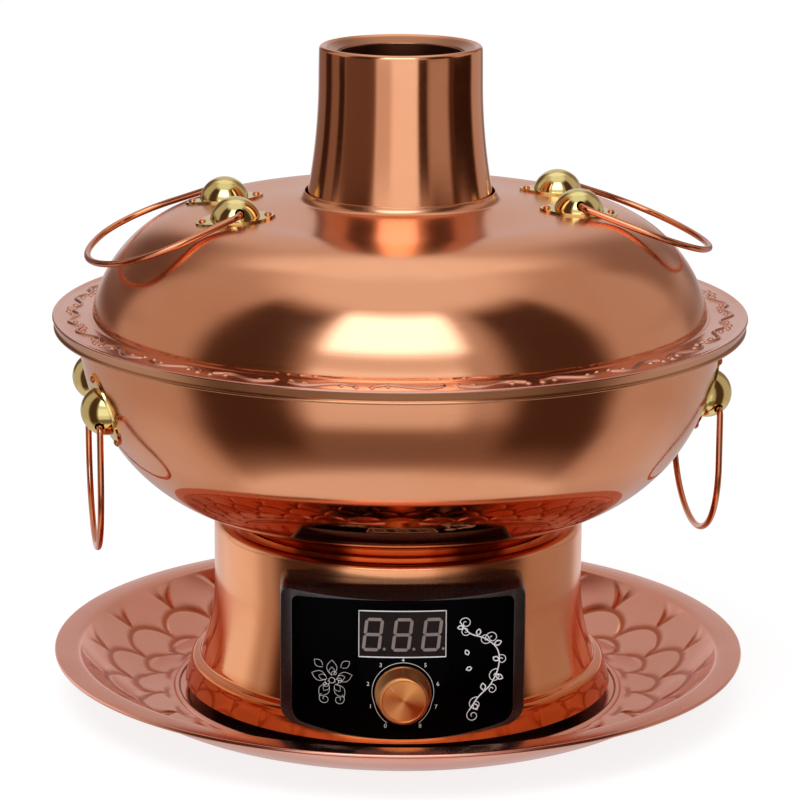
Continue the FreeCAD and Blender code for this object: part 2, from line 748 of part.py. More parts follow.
face_seat = shield_prism("face_seat", S.bezel, S.bezel_top, S.bezel_low,
                         S.panel_front - 30.0, S.panel_front + 5.0)
face_recess = combine("Part::Cut", "face_recess", face_seat, bow("recess_floor", S.face_thick))
cavity = shield_prism("panel_cavity", S.bezel + S.frame_wide, S.bezel_top + S.frame_wide,
                      S.bezel_low + S.frame_wide, S.panel_front - 60.0, S.panel_front + 5.0)
SCREW_X = S.panel_half.value - 4.5
SCREW_END = S.panel_front.value - 20.0
doc.recompute()


def head_seat(height):
    """How far out a screw head bears on the inside of the curved wall."""
    x = SCREW_X + 2.7
    line = Part.makeLine(Vector(x, 0, height), Vector(x, -S.skirt_radius.value, height))
    return max(-end.Point.y for end in base_volume.Shape.common(line).Vertexes)


screw_spots = [(side, height, head_seat(height) - S.sheet.value * 1.4)
               for height in (60.0, 30.0) for side in (-1, 1)]
panel_holes = several("panel_holes", [
    cylinder("panel_hole", 1.5, SCREW_END - 60.0, at_front(side * SCREW_X, -60.0, height))
    for side, height, seat in screw_spots])
housing = combine("Part::Fuse", "housing_solid", housing_block, bevel)
housing = combine("Part::Common", "housing_bowed", housing, bow("housing_bow", 0.0))
keep(combine("Part::Cut", "panel_housing", housing, base_volume, face_recess, cavity,
             panel_holes))

panel_screws = []
for side, height, seat in screw_spots:
    shank = cylinder("panel_shank", 1.5, SCREW_END - seat, at_front(side * SCREW_X, -seat, height))
    head = cylinder("panel_head", 2.7, 1.6, at_front(side * SCREW_X, -seat + 1.6, height))
    panel_screws.append(combine("Part::Fuse", "panel_screw", shank, head))
keep(several("panel_screws", panel_screws))

ease = S.face_ease
face = shield_prism("face_blank", S.bezel + ease, S.bezel_top + ease, S.bezel_low + ease,
                    S.panel_front - 20.0, S.panel_front + 5.0)
face = combine("Part::Common", "face_front", face, bow("face_bow", 0.0))
window_block = block("display_window",
                     (-S.display_half - 0.2, -S.panel_front - 5.0,
                      S.display_mid - S.display_high / 2 - 0.2),
                     (S.display_half * 2 + 0.4, 30.0, S.display_high + 0.4))
bushing_hole = cylinder("bushing_hole", S.bushing_radius + 0.1, 30.0,
                        at_front(0, -S.panel_front.value + 20.0, S.knob_height.value))
keep(combine("Part::Cut", "panel_face", face, bow("face_back", S.face_thick), window_block,
             bushing_hole))

display = block("display_block",
                (-S.display_half, -S.panel_front - 1.0, S.display_mid - S.display_high / 2),
                (S.display_half * 2, S.panel_front + 1.0 - S.board_front, S.display_high))
keep(combine("Part::Common", "display_module", display, bow("display_bow", 0.15)))

keep(block("control_board",
           (-S.board_half, -S.board_front, S.board_low),
           (S.board_half * 2, S.board_thick, S.board_top - S.board_low)))

control_back = S.panel_front - S.face_thick - 0.6
control = block("control_block", (-8.0, -control_back, S.knob_height - 8.0),
                (16.0, control_back - S.board_front, 16.0))
bushing = cylinder("bushing", S.bushing_radius, 9.0,
                   at_front(0, -S.panel_front.value + 5.5, S.knob_height.value))
bushing_bore = cylinder("bushing_bore", S.shaft_radius + S.running_fit - 0.5, 12.0,
                        at_front(0, -S.panel_front.value + 6.0, S.knob_height.value))
control = combine("Part::Fuse", "control_solid", control, bushing)
keep(combine("Part::Cut", "dial_control", control, bushing_bore))

nut = new_body("control_nut")
nut_sketch = new_sketch(nut, "XY_Plane")
corners = [(S.bushing_radius + 2.2) * math.cos(math.radians(60 * k)) for k in range(6)]
rises = [(S.bushing_radius + 2.2) * math.sin(math.radians(60 * k)) for k in range(6)]
outline(nut_sketch, (corners[0], 0), [(corners[k], rises[k]) if k != 3 else (corners[3], 0)
                                      for k in range(1, 6)])
circle(nut_sketch, 0, 0, S.bushing_radius)
pad(nut, nut_sketch, 2.0)
nut.Placement = at_front(0, -S.panel_front.value, S.knob_height.value)
keep(nut)

shaft_foot = 5.0
keep(cylinder("control_shaft", S.shaft_radius - 0.5, shaft_foot + 9.0,
              at_front(0, -S.panel_front.value + shaft_foot, S.knob_height.value)))

knob_end = S.knob_gap + S.knob_long
knob = spun("control_knob", (S.shaft_radius - 0.5, 4.4), [
    (7.0, 4.4),
    (7.0, S.knob_gap),
    (S.knob_radius - 0.3, S.knob_gap),
    (S.knob_radius, S.knob_gap + 0.3, 0.3, "left"),
    (S.knob_radius, S.knob_gap + 1.5),
    (S.knob_front + 0.9, knob_end - 1.0),
    (S.knob_front, knob_end, 1.2, "left"),
    (S.knob_front - 0.5, knob_end),
    (S.knob_front - 0.8, knob_end - 0.3),
    (0, knob_end - 0.3),
    (0, 9.0),
    (S.shaft_radius - 0.5, 9.0),
])
knob.Placement = at_front(0, -S.panel_front.value, S.knob_height.value)
keep(knob)

# ------------------------------------------------------------- power inlet

INLET_SCREW_X = S.inlet_half.value - 5.0
inlet_block = block("inlet_block", (-S.inlet_half, 60.0, S.inlet_height - S.inlet_high),
                    (S.inlet_half * 2, S.inlet_front - 60.0, S.inlet_high * 2))
inlet_flange = combine("Part::Cut", "inlet_flange", inlet_block, base_volume)
inlet_barrel = block("inlet_barrel",
                     (-S.socket_half - 1.6, S.inlet_front - 26.0,
                      S.inlet_height - S.socket_high - 1.6),
                     (S.socket_half * 2 + 3.2, 25.0, S.socket_high * 2 + 3.2))
socket = block("socket", (-S.socket_half, S.inlet_front - S.socket_deep,
                          S.inlet_height - S.socket_high),
               (S.socket_half * 2, S.socket_deep + 5.0, S.socket_high * 2))
inlet_screw_holes = several("inlet_screw_holes", [
    cylinder(f"inlet_hole_{side}", 1.5, 30.0,
             at_back(side * INLET_SCREW_X, 70.0, S.inlet_height.value))
    for side in (-1, 1)])
inlet_solid = combine("Part::Fuse", "inlet_solid", inlet_flange, inlet_barrel)
keep(combine("Part::Cut", "power_inlet", inlet_solid, socket, inlet_screw_holes))

pins = []
for x, z in ((-7.0, -2.0), (7.0, -2.0), (0.0, 2.0)):
    pins.append(block(f"pin_{x:g}", (x - 1.0, S.inlet_front - S.socket_deep,
                                     S.inlet_height + z - 2.0), (2.0, 12.0, 4.0)))
keep(several("inlet_pins", pins))

inlet_screws = []
for side in (-1, 1):
    shank = cylinder(f"inlet_shank_{side}", 1.5, 14.0,
                     at_back(side * INLET_SCREW_X, S.inlet_front.value - 14.0,
                             S.inlet_height.value))
    head = cylinder(f"inlet_head_{side}", 2.8, 1.5,
                    at_back(side * INLET_SCREW_X, S.inlet_front.value,
                            S.inlet_height.value))
    inlet_screws.append(combine("Part::Fuse", f"inlet_screw_{side}", shank, head))
keep(several("inlet_screws", inlet_screws))

shell_drills = several("shell_drills", [
    cylinder("inlet_drill", 1.5, 30.0,
             at_back(side * INLET_SCREW_X, 70.0, S.inlet_height.value))
    for side in (-1, 1)] + [
    cylinder("panel_drill", 1.5, 30.0, at_front(side * SCREW_X, -60.0, height))
    for side, height, seat in screw_spots])
shell.Label = "base_shell_spun"
keep(combine("Part::Cut", "base_shell", shell, shell_drills))

# --------------------------------------------------------------------- pot

floor_top = S.bowl_floor + S.metal
flange_top = S.rim_top - S.metal
bowl = spun("bowl_spun", (0, S.bowl_floor), [
    (S.bowl_edge - 1.0, S.bowl_floor),
    (S.bowl_edge, S.bowl_floor + 0.2),
    (S.bowl_mid_radius, S.bowl_mid_height, S.bowl_low, "left"),
    (S.bowl_radius, flange_top - 1.8, S.bowl_high, "left"),
    (S.bowl_radius, flange_top - 1.0),
    (S.rim_radius - 2.4, flange_top - 1.0),
    (S.rim_radius - 2.4, flange_top),
    (S.bowl_radius - S.metal, flange_top),
    (S.bowl_radius - S.metal, flange_top - 1.8),
    (S.bowl_mid_radius - S.metal * 0.87, S.bowl_mid_height + S.metal * 0.5,
     S.bowl_high - S.metal, "right"),
    (S.bowl_edge - 0.6, floor_top, S.bowl_low - S.metal, "right"),
    (0, floor_top),
])

rim_low = S.rim_top - S.rim_deep
keep(spun("pot_rim", (S.rim_inner, S.rim_top), [
    (S.rim_inner, flange_top - 2.2),
    (S.rim_inner + S.metal, flange_top - 2.2),
    (S.rim_inner + S.metal, flange_top),
    (S.rim_radius - S.metal, flange_top),
    (S.rim_radius - S.metal, rim_low + 0.9),
    (S.rim_radius - S.metal - 0.9, rim_low, 0.9, "right"),
    (S.rim_radius - 0.5, rim_low),
    (S.rim_radius - 0.3, rim_low + 1.3, 0.8, "left"),
    (S.rim_radius, rim_low + 1.6),
    (S.rim_radius, S.rim_top - 0.5),
    (S.rim_radius - 0.5, S.rim_top, 0.5, "left"),
]))

keep(spun("pot_foot_ring", (S.foot_outer - S.metal, S.seat_top), [
    (S.foot_outer, S.seat_top),
    (S.foot_outer, S.bowl_floor - 2.0),
    (S.foot_outer + 2.0, S.bowl_floor, 2.0, "right"),
    (S.foot_outer - S.metal, S.bowl_floor),
]))

keep(spun("inner_cone", (S.cone_base, floor_top), [
    (S.cone_top_radius, S.cone_top),
    (S.cone_top_radius - S.metal, S.cone_top),
    (S.cone_base - S.metal, floor_top),
]))

lip_inner = S.stack_top_radius - S.stack_lip
keep(spun("chimney_tube", (S.stack_radius, S.stack_foot), [
    (S.stack_radius, S.stack_curve_low),
    (S.stack_neck, S.stack_curve_high, S.stack_curve, "right"),
    (S.stack_top_radius, S.stack_top - S.stack_lip),
    (lip_inner, S.stack_top, S.stack_lip, "left"),
    (S.stack_bore, S.stack_top - S.stack_sink),
    (S.stack_bore, S.stack_top - S.stack_sink - S.sheet),
    (lip_inner - 0.2, S.stack_top - S.sheet * 1.1),
    (S.stack_top_radius - S.sheet, S.stack_top - S.stack_lip - 0.4, 0.9, "right"),
    (S.stack_neck - S.sheet, S.stack_curve_high),
    (S.stack_radius - S.sheet, S.stack_curve_low, S.stack_curve + S.sheet, "left"),
    (S.stack_radius - S.sheet, S.stack_foot),
]))

keep(spun("chimney_liner", (S.stack_bore - 0.1, S.liner_foot), [
    (S.stack_bore - 0.1, S.stack_top - S.stack_sink - 0.2),
    (S.stack_bore - 0.1 - S.sheet, S.stack_top - S.stack_sink - 0.2),
    (S.stack_bore - 0.1 - S.sheet, S.liner_foot),
]))

# --------------------------------------------------------------------- lid

collar_inside = S.lid_hole
collar_outside = S.lid_hole + S.metal
collar_top = S.lid_flat_height + S.lid_fillet
lid = spun("lid_spun", (S.lid_radius, S.rim_top), [
    (S.lid_radius, S.rim_top + 2.0),
    (S.lid_break_radius, S.lid_break_height, S.lid_side, "left"),
    (S.lid_flat, S.lid_flat_height, S.lid_crown, "right"),
    (collar_outside, collar_top, S.lid_fillet, "right"),
    (collar_outside, collar_top + 0.2),
    (collar_inside, collar_top + 0.2, S.metal * 0.52, "left"),
    (collar_inside, collar_top),
    (S.lid_flat, S.lid_flat_height - S.metal, S.lid_fillet + S.metal, "left"),
    (S.lid_break_radius, S.lid_break_height - S.metal, S.lid_crown + S.metal, "left"),
    (S.lid_radius - S.metal, S.rim_top + 2.0, S.lid_side - S.metal, "right"),
    (S.lid_radius - S.metal, S.rim_top),
])

keep(spun("lid_locating_ring", (S.lid_ring - S.metal, S.lid_ring_foot), [
    (S.lid_ring, S.lid_ring_foot),
    (S.lid_ring, S.rim_top + 1.2),
    (S.lid_radius - S.metal - 0.1, S.rim_top + 1.2),
    (S.lid_radius - S.metal - 0.1, S.rim_top + 2.4),
    (S.lid_ring - S.metal, S.rim_top + 2.4),
]))

# --------------------------------------------------------- ears and rivets

lid_under = spun("lid_under", (0, S.rim_top), [
    (S.lid_radius, S.rim_top),
    (S.lid_radius, S.rim_top + 2.0),
    (S.lid_break_radius, S.lid_break_height, S.lid_side, "left"),
    (S.lid_flat, S.lid_flat_height, S.lid_crown, "right"),
    (0, S.lid_flat_height),
])
lid_skin = spun("lid_skin", (S.lid_radius + S.ear_thick, S.rim_top + 2.0), [
    (S.lid_break_radius, S.lid_break_height + S.ear_thick, S.lid_side + S.ear_thick, "left"),
    (S.lid_flat, S.lid_flat_height + S.ear_thick, S.lid_crown - S.ear_thick, "right"),
    (S.lid_flat, S.lid_flat_height),
    (S.lid_break_radius, S.lid_break_height, S.lid_crown, "left"),
    (S.lid_radius, S.rim_top + 2.0, S.lid_side, "right"),
])
bowl_inside = spun("bowl_inside", (0, S.bowl_floor), [
    (S.bowl_edge, S.bowl_floor + 0.2),
    (S.bowl_mid_radius, S.bowl_mid_height, S.bowl_low, "left"),
    (S.bowl_radius, flange_top - 1.8, S.bowl_high, "left"),
    (0, flange_top - 1.8),
])
bowl_skin = spun("bowl_skin", (S.bowl_edge, S.bowl_floor - 0.8), [
    (S.bowl_mid_radius + S.ear_thick * 0.87, S.bowl_mid_height - S.ear_thick * 0.5,
     S.bowl_low + S.ear_thick, "left"),
    (S.bowl_radius + S.ear_thick, flange_top - 1.8, S.bowl_high + S.ear_thick, "left"),
    (S.bowl_radius, flange_top - 1.8),
    (S.bowl_mid_radius, S.bowl_mid_height, S.bowl_high, "right"),
    (S.bowl_edge, S.bowl_floor + 0.2, S.bowl_low, "right"),
])
doc.recompute()

EARS = {
    "lid": (lid_skin, lid_under, S.lid_ear_half, S.lid_ear_shift),
    "pot": (bowl_skin, bowl_inside, S.pot_ear_half, S.pot_ear_shift),
}
ACROSS = Vector(0, 1, 0)


def wall_point(kind, along, shift):
    """Where an upright or a level line meets the outside of lid or pot."""
    if kind == "lid":
        x = S.lid_ear_reach.value + shift
        line = Part.makeLine(Vector(x, along, S.stack_top.value),
                             Vector(x, along, S.rim_top.value))
        hits = lid_under.Shape.common(line).Vertexes
        return max((corner.Point for corner in hits), key=lambda point: point.z)
    z = S.pot_ear_height.value - shift
    line = Part.makeLine(Vector(S.rim_radius.value, along, z), Vector(0, along, z))
    hits = bowl_inside.Shape.common(line).Vertexes
    return max((corner.Point for corner in hits), key=lambda point: point.x)


def wall_frame(kind, along, shift):
    """A frame on the wall: Z leaves it, X runs outward on the lid, down the pot."""
    here = wall_point(kind, along, shift)
    run = wall_point(kind, along, shift + 1.0) - wall_point(kind, along, shift - 1.0)
    x_axis = Vector(run.x, 0, run.z).normalize()
    z_axis = x_axis.cross(ACROSS)
    return Placement(here, Rotation(x_axis, ACROSS, z_axis, "ZXY"))


def rivet_frame(kind, way, end):
    """A frame for one rivet, square to the wall where the rivet goes through it."""
    along = way * EARS[kind][2].value
    flat = wall_frame(kind, along, end * S.rivet_reach.value)
    run = flat.Rotation.multVec(Vector(1, 0, 0))
    round_wall = Vector(-flat.Base.y, flat.Base.x, 0).normalize()
    return Placement(flat.Base, Rotation(run, round_wall, run.cross(round_wall), "ZXY"))


def inside(frame, x, y, z, rotation=None):
    """A placement given in the coordinates of another one."""
    return frame.multiply(Placement(Vector(x, y, z), rotation or Rotation()))


def ear(label, kind, way):
    """One pressed ear: leaf-shaped flange, hollow dome, hole for the wire."""
    skin, under, half, shift = EARS[kind]
    frame = wall_frame(kind, way * half.value, 0.0)
    middle = inside(frame, 0, 0, -S.dome_sink.value)
    leaf = (S.ear_long * S.ear_long + S.ear_wide * S.ear_wide) / (S.ear_wide * 2)
    across = leaf.value - S.ear_wide.value
    sides = [cylinder(f"{label}_side", leaf, 24.0, inside(frame, 0, end * across, -12))
             for end in (-1, 1)]
    flange = combine("Part::Common", f"{label}_flange", skin, *sides)
    dome = combine("Part::Cut", f"{label}_dome", ball(f"{label}_ball", S.dome, middle), under)
    solid = combine("Part::Fuse", f"{label}_solid", flange, dome)
    hollow = ball(f"{label}_hollow", S.dome - S.dome_wall, middle)
    outward = Rotation(Vector(1, 0, 0), -90 * way)
    hole = cylinder(f"{label}_hole", S.ear_hole, 20.0,
                    inside(frame, shift.value, 0, S.ear_hole_up.value, outward))
    drills = [cylinder(f"{label}_drill", S.rivet_radius, 8.0,
                       inside(rivet_frame(kind, way, end), 0, 0, -4))
              for end in (-1, 1)]
    return combine("Part::Cut", label, solid, hollow, hole, *drills)


def rivet(kind, way, end):
    """A rivet through flange and wall, head outside, clenched end inside."""
    frame = rivet_frame(kind, way, end)
    head = doc.addObject("Part::Ellipsoid", "rivet_head")
    bind(head, "Radius1", S.rivet_head * 0.65)
    bind(head, "Radius2", S.rivet_head)
    head.Angle1 = 0.0
    head.Placement = inside(frame, 0, 0, S.ear_thick.value + S.rivet_seat.value)
    foot = -S.metal.value - S.rivet_seat.value
    shank = cylinder("rivet_shank", S.rivet_radius, S.ear_thick + S.metal + S.rivet_seat * 2,
                     inside(frame, 0, 0, foot))
    clench = cylinder("rivet_clench", S.rivet_head - 0.3, 0.6,
                      inside(frame, 0, 0, foot - 0.6))
    return combine("Part::Fuse", "rivet", head, shank, clench)


def about_axis(side):
    """The turn that carries a right-hand piece to its place on pot or lid."""
    half_turn = 0.0 if side == "right" else 180.0
    return Placement(Vector(), Rotation(Vector(0, 0, 1), S.handle_turn.value + half_turn))


hinges = {}
drills = {"lid": [], "pot": []}
for kind, (skin, under, half, shift) in EARS.items():
    rivets = []
    for side in ("right", "left"):
        place = about_axis(side)
        for way in (-1, 1):
            toward_front = (way < 0) == (side == "right")
            label = f"{kind}_ear_{side}_{'front' if toward_front else 'back'}"
            made = ear(label, kind, way)
            made.Placement = place
            keep(made)
            for end in (-1, 1):
                pin = rivet(kind, way, end)
                pin.Placement = place
                rivets.append(pin)
                frame = rivet_frame(kind, way, end)
                drills[kind].append(cylinder(f"{kind}_drill", S.rivet_radius, 8.0,
                                             place.multiply(inside(frame, 0, 0, -5))))
    keep(several(f"{kind}_ear_rivets", rivets))
    frame = wall_frame(kind, half.value, 0.0)
    hinge = inside(frame, shift.value, 0, S.ear_hole_up.value).Base
    hinges[kind] = Vector(hinge.x, 0, hinge.z)

keep(combine("Part::Cut", "lid_dome", lid, several("lid_drills", drills["lid"])))
keep(combine("Part::Cut", "pot_bowl", bowl, several("bowl_drills", drills["pot"])))

# ------------------------------------------------------------------- bails


def bail(label, half, shift, shape, place):
    """A wire loop in its own frame: hinge axis along Y, loop reaching to +X.

    From the ear the wire bends outward, runs straight, turns a corner and
    closes in one wide arc.  The straight run and the wide arc's radius
    follow from the loop's reach.
    """
    reach, bend, splay, corner = shape
    rise = (S.ear_hole_up.value + S.dome_sink.value) ** 2 + shift.value ** 2
    leave = half.value + math.sqrt(S.dome.value ** 2 - rise) + 0.2
    way_out = math.radians(splay.value)
    way_in = math.radians(60)
    bent = Vector(bend.value * (1 - math.sin(way_out)), leave + bend.value * math.cos(way_out), 0)
    turn = Vector(corner.value * (math.sin(way_out) + math.sin(way_in)),
                  corner.value * (math.cos(way_in) - math.cos(way_out)), 0)
    left = Vector(reach.value, 0, 0) - bent - turn
    run_way = Vector(math.cos(way_out), math.sin(way_out), 0)
    tip_way = Vector(1 - math.sin(way_in), -math.cos(way_in), 0)
    solve = run_way.x * tip_way.y - run_way.y * tip_way.x
    run = (left.x * tip_way.y - left.y * tip_way.x) / solve
    tip = (run_way.x * left.y - run_way.y * left.x) / solve
    run_end = bent + run_way * run
    arc_end = run_end + turn
    inner = leave - S.bail_end.value
    body = new_body(label)
    path = new_sketch(body, "XY_Plane")
    outline(path, (0, -inner), [
        (0, -leave),
        (bent.x, -bent.y, bend, "left"),
        (run_end.x, -run_end.y),
        (arc_end.x, -arc_end.y, corner, "left"),
        (arc_end.x, arc_end.y, tip, "left"),
        (run_end.x, run_end.y, corner, "left"),
        (bent.x, bent.y),
        (0, leave, bend, "left"),
        (0, inner),
    ], closed=False)
    ring = new_sketch(body, "XZ_Plane", inner)
    circle(ring, 0, 0, S.wire)
    pipe = body.newObject("PartDesign::AdditivePipe", "wire")
    pipe.Profile = ring
    pipe.Spine = (path, [])
    body.Placement = place
    length = 2 * (S.bail_end.value + bend.value * (math.pi / 2 - way_out) + run
                  + corner.value * (way_out + way_in) + tip * (math.pi / 2 - way_in))
    return keep(body), length * math.pi * S.wire.value ** 2


BAILS = {
    "lid": (S.bail_reach, S.lid_bail_bend, S.lid_bail_splay, S.lid_bail_corner),
    "pot": (S.pot_bail_reach, S.pot_bail_bend, S.pot_bail_splay, S.pot_bail_corner),
}
slopes = {"lid": S.lid_bail_drop.value, "pot": 90.0}
wires = []
for kind, (skin, under, half, shift) in EARS.items():
    for side in ("right", "left"):
        local = Placement(hinges[kind], Rotation(ACROSS, slopes[kind]))
        wires.append(bail(f"{kind}_bail_{side}", half, shift, BAILS[kind],
                          about_axis(side).multiply(local)))
    print(f"{kind} bail hinge {hinges[kind].x:.3f}, {hinges[kind].z:.3f}")

# --------------------------------------------------------- check and write

doc.recompute()
for wire, volume in wires:
    print(f"{wire.Label}: {wire.Shape.Volume:.0f} mm3, straight wire {volume:.0f}")
broken = [f"{thing.Name} in {[user.Label for user in thing.InList]}" for thing in doc.Objects
          if "Invalid" in thing.State or "Error" in thing.State]
if broken:
    raise RuntimeError("; ".join(broken))
for label, node in nodes.items():
    shape = node.Shape
    if shape.isNull() or not shape.isValid() or not shape.Solids:
        raise RuntimeError(f"{label} has no valid solid")

os.makedirs("parts", exist_ok=True)
for label, node in nodes.items():
    node.Shape.exportStep(f"parts/{label}.step")
    box = node.Shape.optimalBoundingBox()
    print(f"{label:26s} {len(node.Shape.Solids)} solid(s) {node.Shape.Volume:10.0f} mm3 "
          f"x {box.XMin:.1f}..{box.XMax:.1f} y {box.YMin:.1f}..{box.YMax:.1f} "
          f"z {box.ZMin:.1f}..{box.ZMax:.1f}")
print(len(nodes), "nodes")
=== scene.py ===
# %% [markdown]
# # A chimney hot pot in copper
# The real thing is spun sheet copper: an embossed drip tray, a heated base with a dial
# and a small display, a wide pot with a chimney standing in its middle, and a domed lid
# that drops over the chimney. Four wire bails swing in pressed brass ears. The solids of
# the frame fix where everything is; the cells below give each piece its finished surface.

# %% Load the frame
import bpy
import math
import numpy as np
from mathutils import Matrix, Vector


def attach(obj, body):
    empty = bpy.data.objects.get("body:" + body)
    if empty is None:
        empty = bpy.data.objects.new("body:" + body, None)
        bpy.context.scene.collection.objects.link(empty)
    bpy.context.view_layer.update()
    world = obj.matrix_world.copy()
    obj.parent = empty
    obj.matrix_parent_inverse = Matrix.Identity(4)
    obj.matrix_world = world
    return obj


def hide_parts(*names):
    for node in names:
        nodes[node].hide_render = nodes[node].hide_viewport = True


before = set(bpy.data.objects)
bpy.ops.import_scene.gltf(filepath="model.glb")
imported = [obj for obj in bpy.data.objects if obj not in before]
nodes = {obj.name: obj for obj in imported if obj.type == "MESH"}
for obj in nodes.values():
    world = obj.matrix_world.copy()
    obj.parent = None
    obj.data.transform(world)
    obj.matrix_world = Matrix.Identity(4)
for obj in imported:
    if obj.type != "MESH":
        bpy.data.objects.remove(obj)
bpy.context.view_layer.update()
bpy.ops.object.select_all(action="DESELECT")

# %% [markdown]
# ## The camera
# A long lens from a little above, as for a catalogue picture. A short lens would make the
# tray look far wider than the pot. The pot stands a little to the right of the lens's own
# axis, so a small sideways shift centres it without turning the camera.

# %% Camera
LENS_MM, SENSOR_MM, SIDE_SHIFT = 155.06, 36.0, 0.1103
CAMERA_PLACE, LOOKING_DOWN = (-0.0404, -1.5547, 0.5247), 13.946
camera_data = bpy.data.cameras.new("camera")
camera_data.sensor_width = SENSOR_MM
camera_data.lens = LENS_MM
camera_data.shift_x = SIDE_SHIFT
camera_data.clip_start, camera_data.clip_end = 0.05, 50.0
camera = bpy.data.objects.new("camera", camera_data)
bpy.context.scene.collection.objects.link(camera)
camera.location = CAMERA_PLACE
camera.rotation_euler = (math.radians(90 - LOOKING_DOWN), 0, 0)
bpy.context.scene.camera = camera
print("camera at", CAMERA_PLACE, "looks down", LOOKING_DOWN, "degrees")

# %% [markdown]
# ## How the round pieces are made
# Nearly every piece here was spun on a lathe, so nearly every piece is modelled that way:
# one corner point is walked along the wall's outline by extruding it, and the finished
# outline is spun about the upright axis. Outlines are lists of corners in millimetres,
# as (radius, height); a corner with a third and fourth value is reached by an arc of
# that radius, bending left or right, and a fifth gives that arc its own spacing. A plain
# list keeps each outline readable beside a drawing, which a sculpted mesh would not.

# %% Outline helper
MM = 0.001


def walk(start, steps, spacing):
    """The points of an outline in millimetres, its arcs divided by `spacing`."""
    points = [Vector((start[0], start[1]))]
    for step in steps:
        here, there = points[-1], Vector((step[0], step[1]))
        if len(step) > 2:
            radius, way = step[2], 1 if step[3] == "left" else -1
            chord = there - here
            side = Vector((-chord.y, chord.x)).normalized() * way
            depth = math.sqrt(max(radius ** 2 - (chord.length / 2) ** 2, 0.0))
            centre = (here + there) / 2 + side * depth
            sweep = 2 * math.asin(min(chord.length / 2 / radius, 1.0))
            count = max(3, math.ceil(sweep * radius / (step[4] if len(step) > 4 else spacing)))
            for k in range(1, count):
                turned = Matrix.Rotation(sweep / count * k * way, 2)
                points.append(centre + turned @ (here - centre))
        points.append(there)
    return points


quarter_turn = walk((10, 0), [(0, 10, 10, "left")], 1.5)
print("a quarter turn of 10 mm radius takes", len(quarter_turn), "points")

# %% [markdown]
# A fine outline spun through a whole turn in one go is slow. So it is spun through a
# sixteenth of a turn, and that sector is copied and turned four times, which doubles it
# each time. The corners that meet on the seams are welded, the faces are turned outward,
# and every edge flatter than a given angle is shaded smooth.

# %% Spinning helper
DOUBLINGS, SMOOTH_BELOW, WELD = 4, 32, 2e-6


def start_piece(name, place):
    """A piece of one corner point, in edit mode: a plane merged at its centre."""
    bpy.ops.object.select_all(action="DESELECT")
    bpy.ops.mesh.primitive_plane_add(size=MM, location=(0, 0, 0))
    piece = bpy.context.object
    piece.name = piece.data.name = name
    bpy.ops.object.mode_set(mode="EDIT")
    bpy.ops.mesh.select_all(action="SELECT")
    bpy.ops.mesh.merge(type="CENTER")
    bpy.ops.mesh.select_all(action="SELECT")
    bpy.ops.transform.translate(value=place)
    return piece


def extrude_along(points):
    """Walks the selected corner point through a list of places."""
    for here, there in zip(points, points[1:]):
        bpy.ops.mesh.extrude_vertices_move(TRANSFORM_OT_translate={"value": there - here})


def finish_mesh():
    """Welds, turns the faces outward and smooths; leaves edit mode."""
    bpy.ops.mesh.select_all(action="SELECT")
    bpy.ops.mesh.remove_doubles(threshold=WELD)
    bpy.ops.mesh.normals_make_consistent(inside=False)
    bpy.ops.object.mode_set(mode="OBJECT")
    bpy.ops.object.shade_smooth_by_angle(angle=math.radians(SMOOTH_BELOW))


def spin(name, start, steps, around=256, spacing=1.5):
    """A lathe-turned piece with `around` faces in a whole turn."""
    outline = walk(start, steps, spacing)
    outline.append(outline[0])
    points = [Vector((p.x * MM, 0, p.y * MM)) for p in outline]
    piece = start_piece(name, points[0])
    extrude_along(points)
    sectors = 2 ** DOUBLINGS
    bpy.ops.mesh.select_all(action="SELECT")
    bpy.ops.mesh.spin(steps=around // sectors, angle=2 * math.pi / sectors, center=(0, 0, 0),
                      axis=(0, 0, 1))
    for doubling in range(DOUBLINGS):
        bpy.ops.mesh.select_all(action="SELECT")
        bpy.ops.mesh.duplicate()
        bpy.ops.transform.rotate(value=2 * math.pi / sectors * 2 ** doubling, orient_axis="Z",
                                 center_override=(0, 0, 0))
    finish_mesh()
    return piece


print("a piece is spun in sectors of", 360 / 2 ** DOUBLINGS, "degrees")

# %% [markdown]
# A finished piece is tied to the body it moves with, and where it stands in for a solid,
# that solid leaves the picture. `keep` does both, and prints the piece's size, which can
# be held against the drawing.

# %% Keeping helper
def only(piece):
    """Selects one piece and nothing else."""
    bpy.ops.object.select_all(action="DESELECT")
    piece.select_set(True)
    bpy.context.view_layer.objects.active = piece


def corners_of(piece):
    """The places of a piece's corners in millimetres, one row each."""
    corners = np.empty(len(piece.data.vertices) * 3)
    piece.data.vertices.foreach_get("co", corners)
    return corners.reshape(-1, 3) / MM


def keep(piece, body, *replaced):
    """Puts the place into the mesh, joins the piece to its body and measures it."""
    only(piece)
    bpy.ops.object.transform_apply(location=True, rotation=True, scale=True)
    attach(piece, body)
    if replaced:
        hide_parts(*replaced)
    low, high = corners_of(piece).min(0), corners_of(piece).max(0)
    spans = " ".join(f"{a:.1f}..{b:.1f}" for a, b in zip(low, high))
    print(f"{piece.name}: {len(piece.data.polygons)} faces, {spans} mm")


print(len(nodes), "solids wait to be dressed or replaced")

# %% [markdown]
# ## The drip tray
# A pressed dish: a flat floor, a raised ring that the base stands inside, a rising side
# embossed with fish scales, and a flat rim with a turned edge. The plain dish is spun. Its
# upper face gets much finer steps than its underside, because the scales are pressed there.

